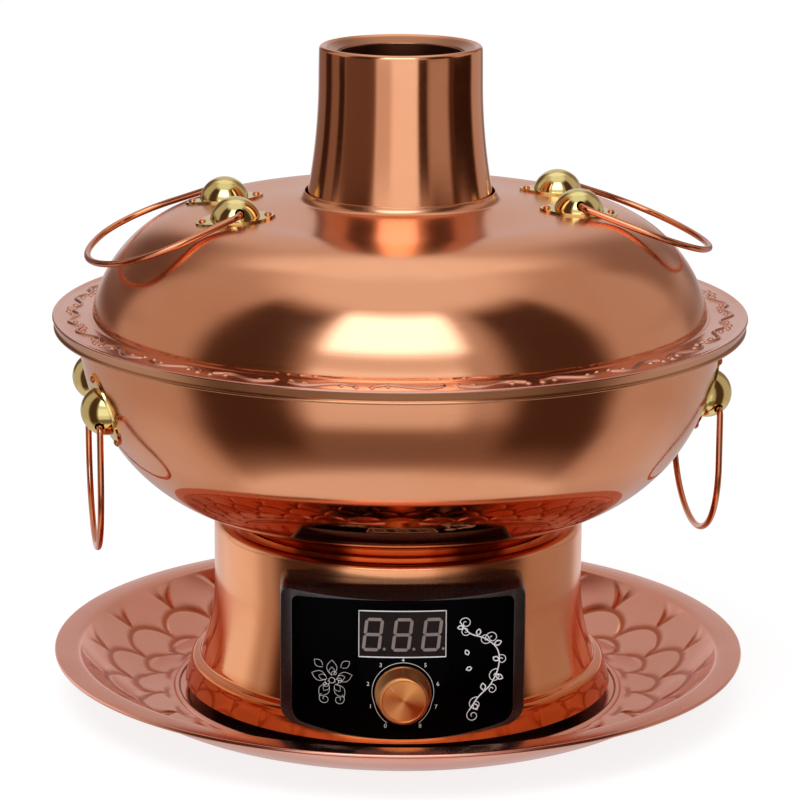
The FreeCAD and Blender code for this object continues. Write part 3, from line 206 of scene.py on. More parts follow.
# %% Tray dish
TRAY_AROUND, FLOOR_STEP = 896, 0.7
tray = spin("tray_dish", (0, 0), [
    (60, 0), (105.9, 0), (120.4, 0), (150.1, 20.2, 74.0, "left", 4.0), (151.3, 21.2),
    (160.5, 21.2), (160.5, 20.2, 0.55, "left"), (161.3, 20.4, 0.45, "left"), (161.5, 20.9),
    (161.5, 21.4), (160.7, 22.2, 0.8, "left"), (152.6, 22.2), (149.6, 21.2, 5.0, "left"),
    (120.0, 1.0, 73.0, "right", 0.7),
    *((r, 1.0) for r in np.arange(119.3, 106.2, -FLOOR_STEP)),
    (105.9, 1.0), (102.5, 1.0, 1.8, "left"), (96.0, 1.0), (60.0, 1.0), (0, 1.0),
], around=TRAY_AROUND, spacing=0.95)
print("tray dish spun with", TRAY_AROUND, "steps round")

# %% [markdown]
# The scales stand in staggered rings with their round ends outward, and the last ring
# dies out on the side. Each end is a crisp step down from the flat scale, with a soft
# rise beyond it. No single operator draws that, and sculpting it by hand would never be
# even. So each corner's share of the depth is worked out from its distance to the nearest
# round end.

# %% Depth of the scales
SCALES_ROUND, SCALE_FEET, SCALE_REACH = 24, (95.0, 109.0, 123.0, 137.0), 14.0
STEP_WIDE, RISE_WIDE = 0.75, 2.6
SCALES_START, SCALES_END, SCALED_FACE = 106.4, 149.5, 150


def scale_depth(x, y):
    """Depth of the embossing at a place on the tray: 0 is flat, 1 the deepest groove."""
    radius, angle = np.hypot(x, y), np.arctan2(y, x)
    step = 2 * math.pi / SCALES_ROUND
    depth = np.zeros_like(radius)
    for ring, foot in enumerate(SCALE_FEET):
        across = ((angle / step + 0.5 * (ring % 2)) % 1.0 - 0.5) * 2 * SCALE_REACH
        above = radius - foot
        gap = np.hypot(across, above) - SCALE_REACH
        groove = np.exp(-(gap / np.where(gap < 0, STEP_WIDE, RISE_WIDE)) ** 2)
        shown = np.clip(above / 2.0 + 0.5, 0, 1)
        depth = np.maximum(depth, groove * shown)
    inner = np.clip((radius - SCALES_START) / 3.0, 0, 1)
    outer = np.clip((SCALES_END - radius) / 5.0, 0, 1)
    return depth * inner * outer


def tray_share(corners, normals):
    """The scales' depth on the dish's upper face, and none elsewhere."""
    x, y = corners[:, 0], corners[:, 1]
    upper = (normals[:, 2] > 0.3) & (np.hypot(x, y) < SCALED_FACE)
    return np.where(upper, scale_depth(x, y), 0.0)


deepest = scale_depth(np.linspace(SCALES_START, SCALES_END, 200), np.zeros(200)).max()
print("deepest share on a line out from the middle:", round(float(deepest), 2))

# %% [markdown]
# A vertex group keeps those shares, and a Displace modifier moves the sheet by them: one
# pair for what is sunk and one for what is raised. The crisp lines are also painted a little
# dark, a painted shade of the relief; how much on every corner is kept as the attribute "chased",
# and the finish reads it.

# %% Pressing helper
def apply_all(piece):
    """Applies every modifier on the piece, top one first."""
    only(piece)
    for modifier in list(piece.modifiers):
        bpy.ops.object.modifier_apply(modifier=modifier.name)


def press(piece, share_of, painted_shade_of, reach):
    """Moves corners by a worked-out share of `reach` millimetres, downward if positive."""
    share = share_of(corners_of(piece), np.array([v.normal for v in piece.data.vertices]))
    # painted shade: each corner's share of dark colour, kept for the finish
    marks = piece.data.attributes.new("chased", "FLOAT", "POINT")
    marks.data.foreach_set("value", np.clip(painted_shade_of(np.abs(share)), 0, 1).astype(np.float32))
    for name, amount, way in (("sunk", share, -1), ("raised", -share, 1)):
        group = piece.vertex_groups.new(name=name)
        moved = np.nonzero(amount > 0.002)[0]
        for k in moved:
            group.add([int(k)], float(min(amount[k], 1.0)), "REPLACE")
        modifier = piece.modifiers.new(name, "DISPLACE")
        modifier.vertex_group = name
        modifier.direction = "Z"
        modifier.mid_level = 0.0
        modifier.strength = way * reach * MM
        print(f"{piece.name}: {len(moved)} corners {name}")
    apply_all(piece)
    piece.vertex_groups.clear()


# %% [markdown]
# Now the tray can be pressed. The painted shade is kept only where the groove is deeper than a
# third, so that the soft rise beyond each line stays clean. The sheet is then joined to the tray
# and takes the place of the plain solid.

# %% Press the tray
SCALE_DEEP = 0.8
# painted shade: the deeper part of each groove is painted dark
press(tray, tray_share, lambda share: (share - 0.35) / 0.5, SCALE_DEEP)
keep(tray, "tray", "drip_tray")

# %% [markdown]
# ## The base
# A waisted drum: turned-out skirt, a flat ledge, a hollow flare, an upright wall and a
# rounded shoulder. It could be built up from rings and tubes, but then their seams would
# show in the reflections, so it is spun in one piece, its inner face included.

# %% Base wall
wall = spin("base_wall", (100.2, 5.4), [
    (98.0, 12.1), (97.5, 13.8), (95.2, 17.3, 3.0, "left"), (93.6, 17.3),
    (92.6, 18.6, 1.4, "right"), (86.0, 56.0, 101.3, "right"), (86.0, 80.3),
    (82.0, 84.3, 4.0, "left"), (76.2, 84.3), (75.2, 83.3, 1.0, "left"), (75.2, 77.5),
    (76.2, 77.5), (76.2, 83.3), (82.0, 83.3), (85.0, 80.3, 3.0, "right"), (85.0, 56.0),
    (92.0, 16.7, 102.3, "left"), (94.8, 16.3), (96.5, 13.5, 2.0, "right"), (99.2, 5.4),
], around=320, spacing=1.2)
print("base wall spun")

# %% [markdown]
# The socket at the back and the window behind the panel are openings that no spinning
# gives. Two blocks are subtracted instead, as a punch would cut them. Subtracting leaves
# new edges, so the shading is set once more.

# %% Window and socket
PANEL_WINDOW = ((-42, -130, 26), (42, -40, 70))
SOCKET = ((-14.4, 40, 26.4), (14.4, 130, 47.6))
for low, high in (PANEL_WINDOW, SOCKET):
    bpy.ops.object.select_all(action="DESELECT")
    bpy.ops.mesh.primitive_cube_add(size=MM)
    cutter = bpy.context.object
    cutter.location = [(a + b) / 2 * MM for a, b in zip(low, high)]
    cutter.scale = [b - a for a, b in zip(low, high)]
    cut = wall.modifiers.new("cut", "BOOLEAN")
    cut.operation = "DIFFERENCE"
    cut.object = cutter
    apply_all(wall)
    bpy.data.objects.remove(cutter)
bpy.ops.object.shade_smooth_by_angle(angle=math.radians(SMOOTH_BELOW))
keep(wall, "base", "base_shell")

# %% [markdown]
# ## The pot
# The bowl is one spun sheet with a crease where two curves meet, turned out flat at the
# top. Under it a plain band, the foot ring, stands on the heated seat. Both are spun from
# the same numbers as their solids, with many more steps than the solids' facets, so that
# the reflections run clean.

# %% Bowl and foot ring
bowl = spin("bowl", (0, 92.0), [
    (60, 92.0), (89.0, 92.0), (90.0, 92.2), (135.06, 127.93, 77.3, "left"),
    (148.2, 179.0, 99.8, "left"), (148.2, 179.8), (157.6, 179.8), (157.6, 180.8),
    (147.0, 180.8), (147.0, 179.0), (134.02, 128.53, 98.6, "right"),
    (89.4, 93.2, 76.1, "right"), (60, 93.2), (0, 93.2),
], around=360)
keep(bowl, "pot", "pot_bowl")

foot_ring = spin("foot_ring", (73.0, 79.0), [
    (74.2, 79.0), (74.2, 90.0), (76.2, 92.0, 2.0, "right"), (73.0, 92.0),
], spacing=0.6)
keep(foot_ring, "pot", "pot_foot_ring")

# %% [markdown]
# A second sheet lies over the bowl's edge as a broad rim with a rolled side, and a bead
# runs round the bottom of that side. It is spun apart from the bowl, because only its flat
# top is divided finely, where the scroll will be chased into it.

# %% Rim
RIM_AROUND, BAND_STEP = 1504, 0.48
rim = spin("pot_rim_sheet", (136.4, 182.0), [
    (136.0, 181.6, 0.4, "left"), (136.0, 178.6), (137.2, 178.6), (137.2, 180.8),
    (158.7, 180.8), (157.6, 177.4), (157.3, 176.6), (158.1, 175.8, 0.8, "right"),
    (158.8, 175.8), (159.4, 176.5, 0.65, "left"), (158.9, 177.1, 0.65, "left"),
    (158.6, 177.4), (160.0, 181.2), (159.1, 182.0, 0.8, "left"), (158.2, 181.85),
    (157.3, 181.6), *((r, 181.5) for r in np.arange(156.8, 143.0, -BAND_STEP)),
    (142.6, 181.7), (142.0, 182.0), (139.0, 182.0),
], around=RIM_AROUND, spacing=0.5)
print("rim spun with", RIM_AROUND, "steps round")

# %% [markdown]
# The scroll round the rim is a traditional wave: a bent stroke with a berry under its
# arch, one over its trough and one at each end, mirrored from one wave to the next. It is
# chased from above, so the strokes stand up from a sunk ground, and their tops are painted
# dark, a painted shade of the relief. The strokes are worked out in the same way as the tray's
# scales, as the distance to a curve, and raised by Displace.

# %% Rim scroll
WAVES, BAND_RADIUS, WAVE_MIDDLE = 26, 150.0, 150.2
WAVE_GAP, WAVE_HIGH = 3.4, 2.7
BERRIES, BERRY_RADIUS = ((0.27, -0.2), (0.73, 0.2), (0.09, -2.2), (0.91, 2.2)), 0.45
BAND_INNER, BAND_OUTER, SCROLL_HIGH = 143.2, 157.0, 0.8


def scroll_rise(x, y):
    """Height share of the chased strokes at a place on the rim: 0 ground, 1 stroke."""
    radius, angle = np.hypot(x, y), np.arctan2(y, x)
    turn = angle / (2 * math.pi) * WAVES
    flip = np.where(np.floor(turn) % 2 == 0, 1.0, -1.0)
    long = 2 * math.pi * BAND_RADIUS / WAVES
    along = (turn % 1.0) * 2 * math.pi * BAND_RADIUS / WAVES
    across = (radius - WAVE_MIDDLE) * flip
    phase = (along - WAVE_GAP) / (long - 2 * WAVE_GAP) * 2 * math.pi
    line = WAVE_HIGH * np.sin(phase)
    slope = WAVE_HIGH * 2 * math.pi / (long - 2 * WAVE_GAP) * np.cos(phase)
    beyond = np.maximum(np.maximum(WAVE_GAP - along, along - (long - WAVE_GAP)), 0)
    nearest = np.hypot((across - line) / np.sqrt(1 + slope ** 2), beyond)
    for at, off in BERRIES:
        berry = np.hypot(along - long * at, across - off)
        nearest = np.minimum(nearest, np.maximum(berry - BERRY_RADIUS, 0))
    return np.clip((1.0 - nearest) / 0.8, 0, 1)


def rim_share(corners, normals):
    """The strokes' rise on the band of the rim's top, and none elsewhere."""
    radius = np.hypot(corners[:, 0], corners[:, 1])
    band = ((normals[:, 2] > 0.5) & (corners[:, 2] > 181)
            & (radius > BAND_INNER) & (radius < BAND_OUTER))
    return np.where(band, -scroll_rise(corners[:, 0], corners[:, 1]), 0.0)


# painted shade: the strokes are painted dark by their rise
press(rim, rim_share, lambda share: share * 0.85, SCROLL_HIGH)
keep(rim, "pot", "pot_rim")

# %% [markdown]
# Through the middle of the pot goes the chimney: a cone that stands in the soup, a waisted
# tube drawn over its top, and a liner that lets the heat out. All three are tubes, so each
# outline goes up one side of the sheet and down the other.

# %% Cone, chimney and liner
cone = spin("inner_cone_sheet", (60.0, 93.2), [
    (56.0, 126.4), (52.0, 159.0), (48.0, 191.6), (43.8, 226.0), (42.6, 226.0), (58.8, 93.2)])
keep(cone, "pot", "inner_cone")

chimney = spin("chimney", (42.6, 214.0), [
    (42.6, 236.0), (37.4, 291.0, 291.6, "right"), (37.2, 302.8), (35.4, 304.6, 1.8, "left"),
    (29.6, 301.6), (29.0, 301.0, 0.8, "left"), (29.0, 300.3), (35.2, 303.5),
    (36.2, 302.4, 0.9, "right"), (36.4, 291.0), (41.6, 236.0, 292.6, "left"), (41.6, 214.0),
], around=288, spacing=0.9)
keep(chimney, "pot", "chimney_tube")

liner = spin("chimney_inside", (28.9, 240.0), [
    (28.9, 301.1), (27.9, 301.1), (27.9, 240.0)], around=192)
keep(liner, "pot", "chimney_liner")

# %% [markdown]
# ## The lid
# One spun dome: a steep side that rounds over into a gently hollow crown, which flares
# up to the chimney and stops a little short of it. A ring under the edge keeps it in the
# pot's mouth. The turned-up collar is small and catches bright lines of light, so its arcs
# have a finer spacing of their own.

# %% Lid and its ring
lid = spin("lid", (141.5, 182.0), [
    (141.5, 184.0), (83.8, 230.85, 61.2, "left"), (47.4, 234.0, 300.0, "right"),
    (44.1, 237.7, 3.75, "right", 0.4), (43.5, 237.7, 0.31, "left", 0.2), (43.5, 237.0),
    (47.4, 232.8, 4.8, "left"), (83.8, 229.65, 301.2, "left"),
    (140.3, 184.0, 60.0, "right"), (140.3, 182.0),
], around=360, spacing=1.2)
keep(lid, "lid", "lid_dome")

lid_ring = spin("lid_ring", (134.4, 176.5), [
    (135.6, 176.5), (135.6, 183.2), (140.2, 183.2), (140.2, 184.4), (134.4, 184.4)])
keep(lid_ring, "lid", "lid_locating_ring")

# %% [markdown]
# ## The control panel
# A moulded housing with a broad bevel, a black glass-like plate in it, a numeric display,
# and a dial. The housing and the plate could be drawn afresh, but copies of the solids
# can't miss their place. Moulded plastic has no knife edges, so each copy is welded and
# given a small bevel.

# %% Softened copies of the panel's solids
FLAT_WITHIN, BEVEL_OVER, SMOOTH_PLASTIC = 0.5, 28, 30


def softened(node, name, width):
    """A welded copy of a solid's mesh with its sharp edges rounded by `width` mm."""
    bpy.ops.object.select_all(action="DESELECT")
    bpy.ops.mesh.primitive_plane_add(size=MM)
    piece = bpy.context.object
    piece.name = name
    piece.data = nodes[node].data.copy()
    piece.data.name = name
    piece.data.materials.clear()
    bpy.ops.object.mode_set(mode="EDIT")
    bpy.ops.mesh.select_all(action="SELECT")
    bpy.ops.mesh.remove_doubles(threshold=WELD)
    bpy.ops.mesh.customdata_custom_splitnormals_clear()
    bpy.ops.mesh.dissolve_limited(angle_limit=math.radians(FLAT_WITHIN))
    bpy.ops.object.mode_set(mode="OBJECT")
    bevel = piece.modifiers.new("rounded", "BEVEL")
    bevel.width = width * MM
    bevel.segments = 3
    bevel.limit_method = "ANGLE"
    bevel.angle_limit = math.radians(BEVEL_OVER)
    apply_all(piece)
    bpy.ops.object.shade_smooth_by_angle(angle=math.radians(SMOOTH_PLASTIC))
    return piece


keep(softened("panel_housing", "panel_frame", 0.7), "base", "panel_housing")
keep(softened("panel_face", "panel_plate", 0.25), "base", "panel_face")

# %% [markdown]
# ### Print on the plate
# The frame round the display, the dial's ring and numbers and the ornament are printed
# in white on a plate that bows about an upright axis. Thin lines are curves with a round
# bevel, half sunk in the plate. `on_plate` gives a place on the bow for any width and
# height, and curves become meshes before they are joined into one print.

# %% Lines on the bowed plate
PLATE_BEND, PLATE_AXIS, KNOB_Z = 150.0, 46.0, 31.0


def on_plate(x, z, lift=0.0):
    """A place on the plate's bowed front, `lift` millimetres proud of it."""
    return Vector((x, PLATE_AXIS - math.sqrt((PLATE_BEND + lift) ** 2 - x ** 2), z)) * MM


def line_on_plate(name, points, radius, closed=False):
    """A printed line: a smooth curve through points (x, z), turned into a mesh."""
    data = bpy.data.curves.new(name, "CURVE")
    data.dimensions = "3D"
    data.bevel_depth = radius * MM
    data.bevel_resolution = 1
    data.use_fill_caps = True
    spline = data.splines.new("POLY")
    spline.points.add(len(points) - 1)
    for spot, (x, z) in zip(spline.points, points):
        spot.co = (*on_plate(x, z), 1)
    spline.use_cyclic_u = closed
    line = bpy.data.objects.new(name, data)
    bpy.context.scene.collection.objects.link(line)
    only(line)
    bpy.ops.object.convert(target="MESH")
    return bpy.context.object


def arc_points(x, z, radius, first, last, count):
    """Points on an arc round (x, z); angles in degrees, clockwise from straight up."""
    return [(x + radius * math.sin(math.radians(a)), z + radius * math.cos(math.radians(a)))
            for a in np.linspace(first, last, count)]


print("the plate's middle is at y", round(on_plate(0, KNOB_Z).y / MM, 1), "mm")

# %% [markdown]
# The ring runs round the dial at one distance, and spreads a little at its two ends, where
# the first and the last number stand. Each number stands upright on the plate, so it is a
# text object turned to face the front, made thin, and turned into a mesh.

# %% Frame, ring and numbers
FRAME_LEFT, FRAME_RIGHT, FRAME_TOP, FRAME_LOW = -19.6, 18.9, 68.5, 47.2
RING_RADIUS, RING_END, RING_SPREAD = 13.7, 154, 2.3
NUMBER_REACH = (17.6, 15.9, 15.9, 15.9, 14.9, 15.9, 15.9, 16.3, 17.6)
frame_line = [(x, FRAME_TOP) for x in np.linspace(FRAME_LEFT, FRAME_RIGHT, 25)]
frame_line += [(x, FRAME_LOW) for x in np.linspace(FRAME_RIGHT, FRAME_LEFT, 25)]
ring_line = [arc_points(0, KNOB_Z, RING_RADIUS + RING_SPREAD * max(0, abs(a) - 112) / 42,
                        a, a, 1)[0] for a in np.linspace(-RING_END, RING_END, 100)]
prints = [line_on_plate("frame_print", frame_line, 0.28, closed=True),
          line_on_plate("ring_print", ring_line, 0.13)]
for number, reach in enumerate(NUMBER_REACH):
    angle = -RING_END + 38.5 * number
    x, z = arc_points(0, KNOB_Z, reach, angle, angle, 1)[0]
    bpy.ops.object.select_all(action="DESELECT")
    bpy.ops.object.text_add(location=on_plate(x, z, 0.02),
                            rotation=(math.radians(90), 0, math.asin(x / PLATE_BEND)))
    text = bpy.context.object
    text.data.body = str(number)
    text.data.size = 2.6 * MM
    text.data.extrude = 0.05 * MM
    text.data.align_x, text.data.align_y = "CENTER", "CENTER"
    bpy.ops.object.convert(target="MESH")
    bpy.ops.object.transform_apply(location=True, rotation=True, scale=True)
    prints.append(bpy.context.object)
print("frame, ring and", len(NUMBER_REACH), "numbers printed")

# %% [markdown]
# ### Ornament
# The ornament is a plain vine, a bent stem with curls on alternate sides and small leaves,
# and a five-petalled blossom with two curls. Both are common on printed panels. A curl is
# a spiral that starts along the stem, so it is worked out from a place, a heading and a
# size, and so is a leaf. The stem is a smooth run through a few places.

# %% Curls, leaves and stems
CURL_STEPS, LEAF_WIDE = 44, 0.32


def curl(x, z, heading, size, hand, turns=1.35):
    """A spiral that leaves (x, z) along `heading` degrees and winds inward."""
    points, at, way = [(x, z)], Vector((x, z)), math.radians(heading)
    for k in range(CURL_STEPS):
        radius = size * (1 - 0.86 * k / CURL_STEPS)
        stride = turns * 2 * math.pi / CURL_STEPS
        way += stride * hand
        at = at + Vector((math.cos(way), math.sin(way))) * radius * stride
        points.append((at.x, at.y))
    return points


def leaf(x, z, heading, size):
    """A small closed leaf outline."""
    way = Vector((math.cos(math.radians(heading)), math.sin(math.radians(heading))))
    side = Vector((-way.y, way.x))
    turn = [(t, LEAF_WIDE * math.sin(math.pi * t)) for t in np.linspace(0, 1, 9)]
    turn += [(t, -LEAF_WIDE * math.sin(math.pi * t)) for t in np.linspace(0.9, 0.1, 8)]
    return [(x + (way.x * a + side.x * b) * size, z + (way.y * a + side.y * b) * size)
            for a, b in turn]


def run_through(points, count):
    """A smooth run through a few places, by even steps of a Catmull-Rom spline."""
    spots = [Vector(p) for p in (points[0], *points, points[-1])]
    run = []
    for a, b, c, d in zip(spots, spots[1:], spots[2:], spots[3:]):
        for t in np.linspace(0, 1, max(3, count // len(points)), endpoint=False):
            run.append(tuple(0.5 * (2 * b + (c - a) * t + (2 * a - 5 * b + 4 * c - d) * t * t
                                    + (3 * b - a - 3 * c + d) * t ** 3)))
    return run + [tuple(spots[-2])]


print("a curl has", len(curl(0, 0, 0, 1, 1)), "points, a leaf", len(leaf(0, 0, 0, 1)))

# %% [markdown]
# The vine stands to the right of the display. Its stem is the widest line, and its leaves
# are drawn with a line so wide that they nearly fill. The places are lists of numbers, so
# a twig can be moved without touching how it is drawn.

# %% Vine
STEM_LINE, CURL_LINE, LEAF_LINE = 0.31, 0.2, 0.3
STEM = ((29.5, 21.5), (33.5, 27.5), (39.0, 33.0), (42.5, 41.0), (42.0, 49.0),
        (36.5, 54.5), (29.5, 57.5), (25.0, 63.0))
CURLS = (  # place, heading, size, hand
    (29.5, 21.5, 215, 2.9, 1), (33.5, 27.5, 160, 3.3, 1), (39.0, 33.0, 15, 2.3, -1),
    (42.0, 40.0, 165, 3.2, 1), (42.4, 46.0, 40, 2.3, -1), (38.5, 52.8, 225, 2.6, -1),
    (36.5, 54.5, 95, 2.9, -1), (25.0, 63.0, 75, 2.7, -1), (29.5, 57.5, 240, 2.2, -1))
LEAVES = (  # place, heading, size
    (31.5, 24.5, 300, 3.2), (36.0, 30.5, 100, 3.4), (41.5, 37.0, 330, 3.4),
    (42.6, 44.0, 150, 3.0), (40.5, 51.5, 20, 3.4), (33.0, 56.3, 75, 3.0),
    (26.6, 60.5, 185, 2.6), (30.5, 41.5, 200, 2.6), (29.0, 47.5, 120, 2.6))
lines = [(run_through(STEM, 72), STEM_LINE)]
lines += [(curl(*each), CURL_LINE) for each in CURLS]
lines += [(leaf(*each), LEAF_LINE) for each in LEAVES]
print("vine of", len(lines), "lines")

# %% [markdown]
# The blossom to the left of the dial is printed much finer, so it looks fainter than the
# vine. Its petals are pairs of leaves on five spokes. All the print is one ink, so in the
# end every line and number is joined into one piece.

# %% Blossom, and the whole print
BLOSSOM_X, BLOSSOM_Z, PETAL_ROOT, FINE_LINE = -31.5, 35.5, 2.2, 0.09
for k in range(5):
    heading = 90 + 72 * k
    x = BLOSSOM_X + PETAL_ROOT * math.cos(math.radians(heading))
    z = BLOSSOM_Z + PETAL_ROOT * math.sin(math.radians(heading))
    lines.append((leaf(x, z, heading, 7.2), FINE_LINE))
    lines.append((leaf(x, z, heading, 4.0), 0.08))
    lines.append((curl(x, z, heading + 36, 1.5, 1 if k % 2 else -1, 1.1), FINE_LINE))
lines.append((arc_points(BLOSSOM_X, BLOSSOM_Z, 1.3, 0, 360, 16), 0.12))
lines.append((curl(-27.0, 29.0, 330, 2.6, -1), 0.1))
lines.append((curl(-36.0, 29.0, 210, 2.6, 1), 0.1))
lines.append((leaf(-27.5, 41.5, 40, 5.0), FINE_LINE))
lines.append((leaf(-35.5, 41.5, 140, 5.0), FINE_LINE))


def joined(name, parts):
    """Several meshes as one piece."""
    bpy.ops.object.select_all(action="DESELECT")
    for part in parts:
        part.select_set(True)
    bpy.context.view_layer.objects.active = parts[0]
    bpy.ops.object.join()
    whole = bpy.context.object
    whole.name = whole.data.name = name
    bpy.ops.object.shade_smooth_by_angle(angle=math.radians(40))
    return whole


for count, (points, radius) in enumerate(lines):
    prints.append(line_on_plate(f"ornament_{count}", points, radius))
keep(joined("panel_print", prints), "base")

# %% [markdown]
# ### Display
# Three leaning digits of seven bars each, unlit, behind a smoked window. Figures of a
# typeface would have no gaps between their bars, so each bar is drawn: a plate with two
# pointed ends, walked corner by corner, filled and extruded.

# %% A display bar
BAR_HALF, BAR_GAP, BAR_THICK, DIGIT_LEAN = 0.72, 0.12, 0.06, 0.118


def bar(ends):
    """One flat bar between two places (x, z) measured from the digit's middle."""
    a, b = Vector(ends[0]), Vector(ends[1])
    way = (b - a).normalized()
    side = Vector((-way.y, way.x)) * BAR_HALF
    a, b = a + way * BAR_GAP, b - way * BAR_GAP
    corners = [a, a + way * BAR_HALF + side, b - way * BAR_HALF + side, b,
               b - way * BAR_HALF - side, a + way * BAR_HALF - side, a]
    places = [Vector((c.x + c.y * DIGIT_LEAN, 0, c.y)) * MM for c in corners]
    piece = start_piece("bar", places[0])
    extrude_along(places)
    bpy.ops.mesh.select_all(action="SELECT")
    bpy.ops.mesh.remove_doubles(threshold=WELD / 2)
    bpy.ops.mesh.edge_face_add()
    bpy.ops.mesh.extrude_region_move(
        TRANSFORM_OT_translate={"value": (0, -BAR_THICK * MM, 0)})
    finish_mesh()
    return piece


print("a bar is", 2 * BAR_HALF, "mm wide and", BAR_THICK, "mm thick")

# %% [markdown]
# Seven bars and a round point make a digit. The other two digits are copies of it, each
# turned to follow the bow of the plate, and the three are joined into one piece.

# %% Digits
LEFT, RIGHT, HIGH = -6.9 / 2, 6.9 / 2, 7.0
BAR_ENDS = (((LEFT, HIGH), (RIGHT, HIGH)), ((LEFT, 0), (RIGHT, 0)), ((LEFT, -HIGH), (RIGHT, -HIGH)),
            ((LEFT, 0), (LEFT, HIGH)), ((RIGHT, 0), (RIGHT, HIGH)),
            ((LEFT, -HIGH), (LEFT, 0)), ((RIGHT, -HIGH), (RIGHT, 0)))
DIGITS_X, DIGITS_Z, DIGITS_LIFT = (-13.4, -0.35, 12.7), 57.6, -0.1
bars = [bar(ends) for ends in BAR_ENDS]
bpy.ops.object.select_all(action="DESELECT")
bpy.ops.mesh.primitive_cylinder_add(vertices=20, radius=0.62 * MM, depth=BAR_THICK * MM,
                                    location=(5.05 * MM, -0.03 * MM, -6.6 * MM),
                                    rotation=(math.radians(90), 0, 0))
digit = joined("digit", bars + [bpy.context.object])
digits = []
for x in DIGITS_X:
    copy = digit.copy()
    copy.data = digit.data.copy()
    bpy.context.scene.collection.objects.link(copy)
    copy.location = on_plate(x, DIGITS_Z, DIGITS_LIFT)
    copy.rotation_euler = (0, 0, math.asin(x / PLATE_BEND))
    digits.append(copy)
bpy.data.objects.remove(digit)
keep(joined("display_bars", digits), "base")

# %% [markdown]
# ### Knob
# A turned metal knob: a flared skirt, a chamfer and a slightly dished front. A cylinder
# with bevels would have neither the flare nor the dish. So it is spun about the upright
# axis like the pot, and then laid on its side with its front to the user.

# %% Knob
KNOB_BACK = -104.0
knob = spin("knob", (2.5, 4.4), [
    (7.0, 4.4), (7.0, 0.7), (12.25, 0.7), (12.55, 1.0, 0.3, "left"), (12.55, 2.1),
    (12.25, 2.5, 0.5, "left"), (11.0, 11.7), (10.75, 12.5, 0.9, "left"),
    (9.9, 13.1, 1.1, "left"), (9.6, 13.1), (9.3, 12.8), (0, 12.8), (0, 9.0), (2.5, 9.0),
], around=192, spacing=0.2)
knob.rotation_euler = (math.radians(90), 0, 0)
knob.location = (0, KNOB_BACK * MM, KNOB_Z * MM)
keep(knob, "knob", "control_knob")

# %% [markdown]
# A pointer line near the edge of the knob's front shows its setting. It is a thin inlaid
# block, shaped while it points straight up and then turned about the knob's axis.

# %% Pointer
POINTER_SIZE, POINTER_OUT, POINTER_FRONT, POINTER_TURN = (0.3, 0.14, 3.4), 7.5, -116.83, -42
bpy.ops.object.select_all(action="DESELECT")
bpy.ops.mesh.primitive_cube_add(size=MM)
pointer = bpy.context.object
pointer.name = pointer.data.name = "knob_pointer"
bpy.ops.object.mode_set(mode="EDIT")
bpy.ops.transform.resize(value=POINTER_SIZE)
bpy.ops.mesh.bevel(offset=0.05 * MM, segments=1)
bpy.ops.transform.translate(value=(0, POINTER_FRONT * MM, POINTER_OUT * MM))
bpy.ops.object.mode_set(mode="OBJECT")
pointer.rotation_euler = (0, math.radians(POINTER_TURN), 0)
pointer.location = (0, 0, KNOB_Z * MM)
keep(pointer, "knob")

# %% [markdown]
# ## Finishes
# A finish is a tree of nodes. `add` places one node and sets its values and inputs in one
# go: an input that is given an output of another node is linked to it. `own_place` is the
# place of a point in its piece's own space, which every finish here is drawn in, so the
# marks stay on a piece when it moves.

# %% A short way to write nodes
def add(tree, kind, inputs=None, **settings):
    """One node; `inputs` maps a socket's name or number to a value or to an output."""
    node = tree.nodes.new(kind)
    for key, value in settings.items():
        setattr(node, key, value)
    for key, value in (inputs or {}).items():
        if isinstance(value, bpy.types.NodeSocket):
            tree.links.new(value, node.inputs[key])
        else:
            node.inputs[key].default_value = value
    return node


def maths(tree, operation, *terms):
    """The result of one Math node."""
    return add(tree, "ShaderNodeMath", dict(enumerate(terms)), operation=operation).outputs[0]


def remap(tree, value, from_low, from_high, to_low, to_high, smooth=False):
    """A value stretched from one range to another, and kept inside it."""
    return add(tree, "ShaderNodeMapRange",
               {0: value, 1: from_low, 2: from_high, 3: to_low, 4: to_high},
               interpolation_type="SMOOTHSTEP" if smooth else "LINEAR").outputs[0]


def own_place(tree):
    """The place of a point in its piece's own space."""
    return add(tree, "ShaderNodeTexCoord").outputs["Object"]


def axes_of(tree, place):
    """The three parts of a place or a direction."""
    return add(tree, "ShaderNodeSeparateXYZ", {0: place}).outputs


def radius_of(tree, axes):
    """The distance from the upright axis."""
    flat = add(tree, "ShaderNodeCombineXYZ", {0: axes[0], 1: axes[1]}).outputs[0]
    return add(tree, "ShaderNodeVectorMath", {0: flat}, operation="LENGTH").outputs["Value"]


def new_group(name, inputs, outputs):
    """An empty node group with inputs (name, default) and float outputs; an input whose
    default is None is a place."""
    tree = bpy.data.node_groups.new(name, "ShaderNodeTree")
    for label, default in inputs:
        kind = "NodeSocketVector" if default is None else "NodeSocketFloat"
        socket = tree.interface.new_socket(label, in_out="INPUT", socket_type=kind)
        if default is not None:
            socket.default_value = default
    for label in outputs:
        tree.interface.new_socket(label, in_out="OUTPUT", socket_type="NodeSocketFloat")
    return tree, add(tree, "NodeGroupInput").outputs, add(tree, "NodeGroupOutput").inputs


# %% [markdown]
# ### Marks left by spinning
# A sheet that is spun and then polished on the lathe keeps fine lines that run round its
# axis. The lines are noise that changes fast with the radius and the height but slowly
# round the axis, so its place is given as radius, height, sine and cosine. Noise in plain
# coordinates would look like sand instead.

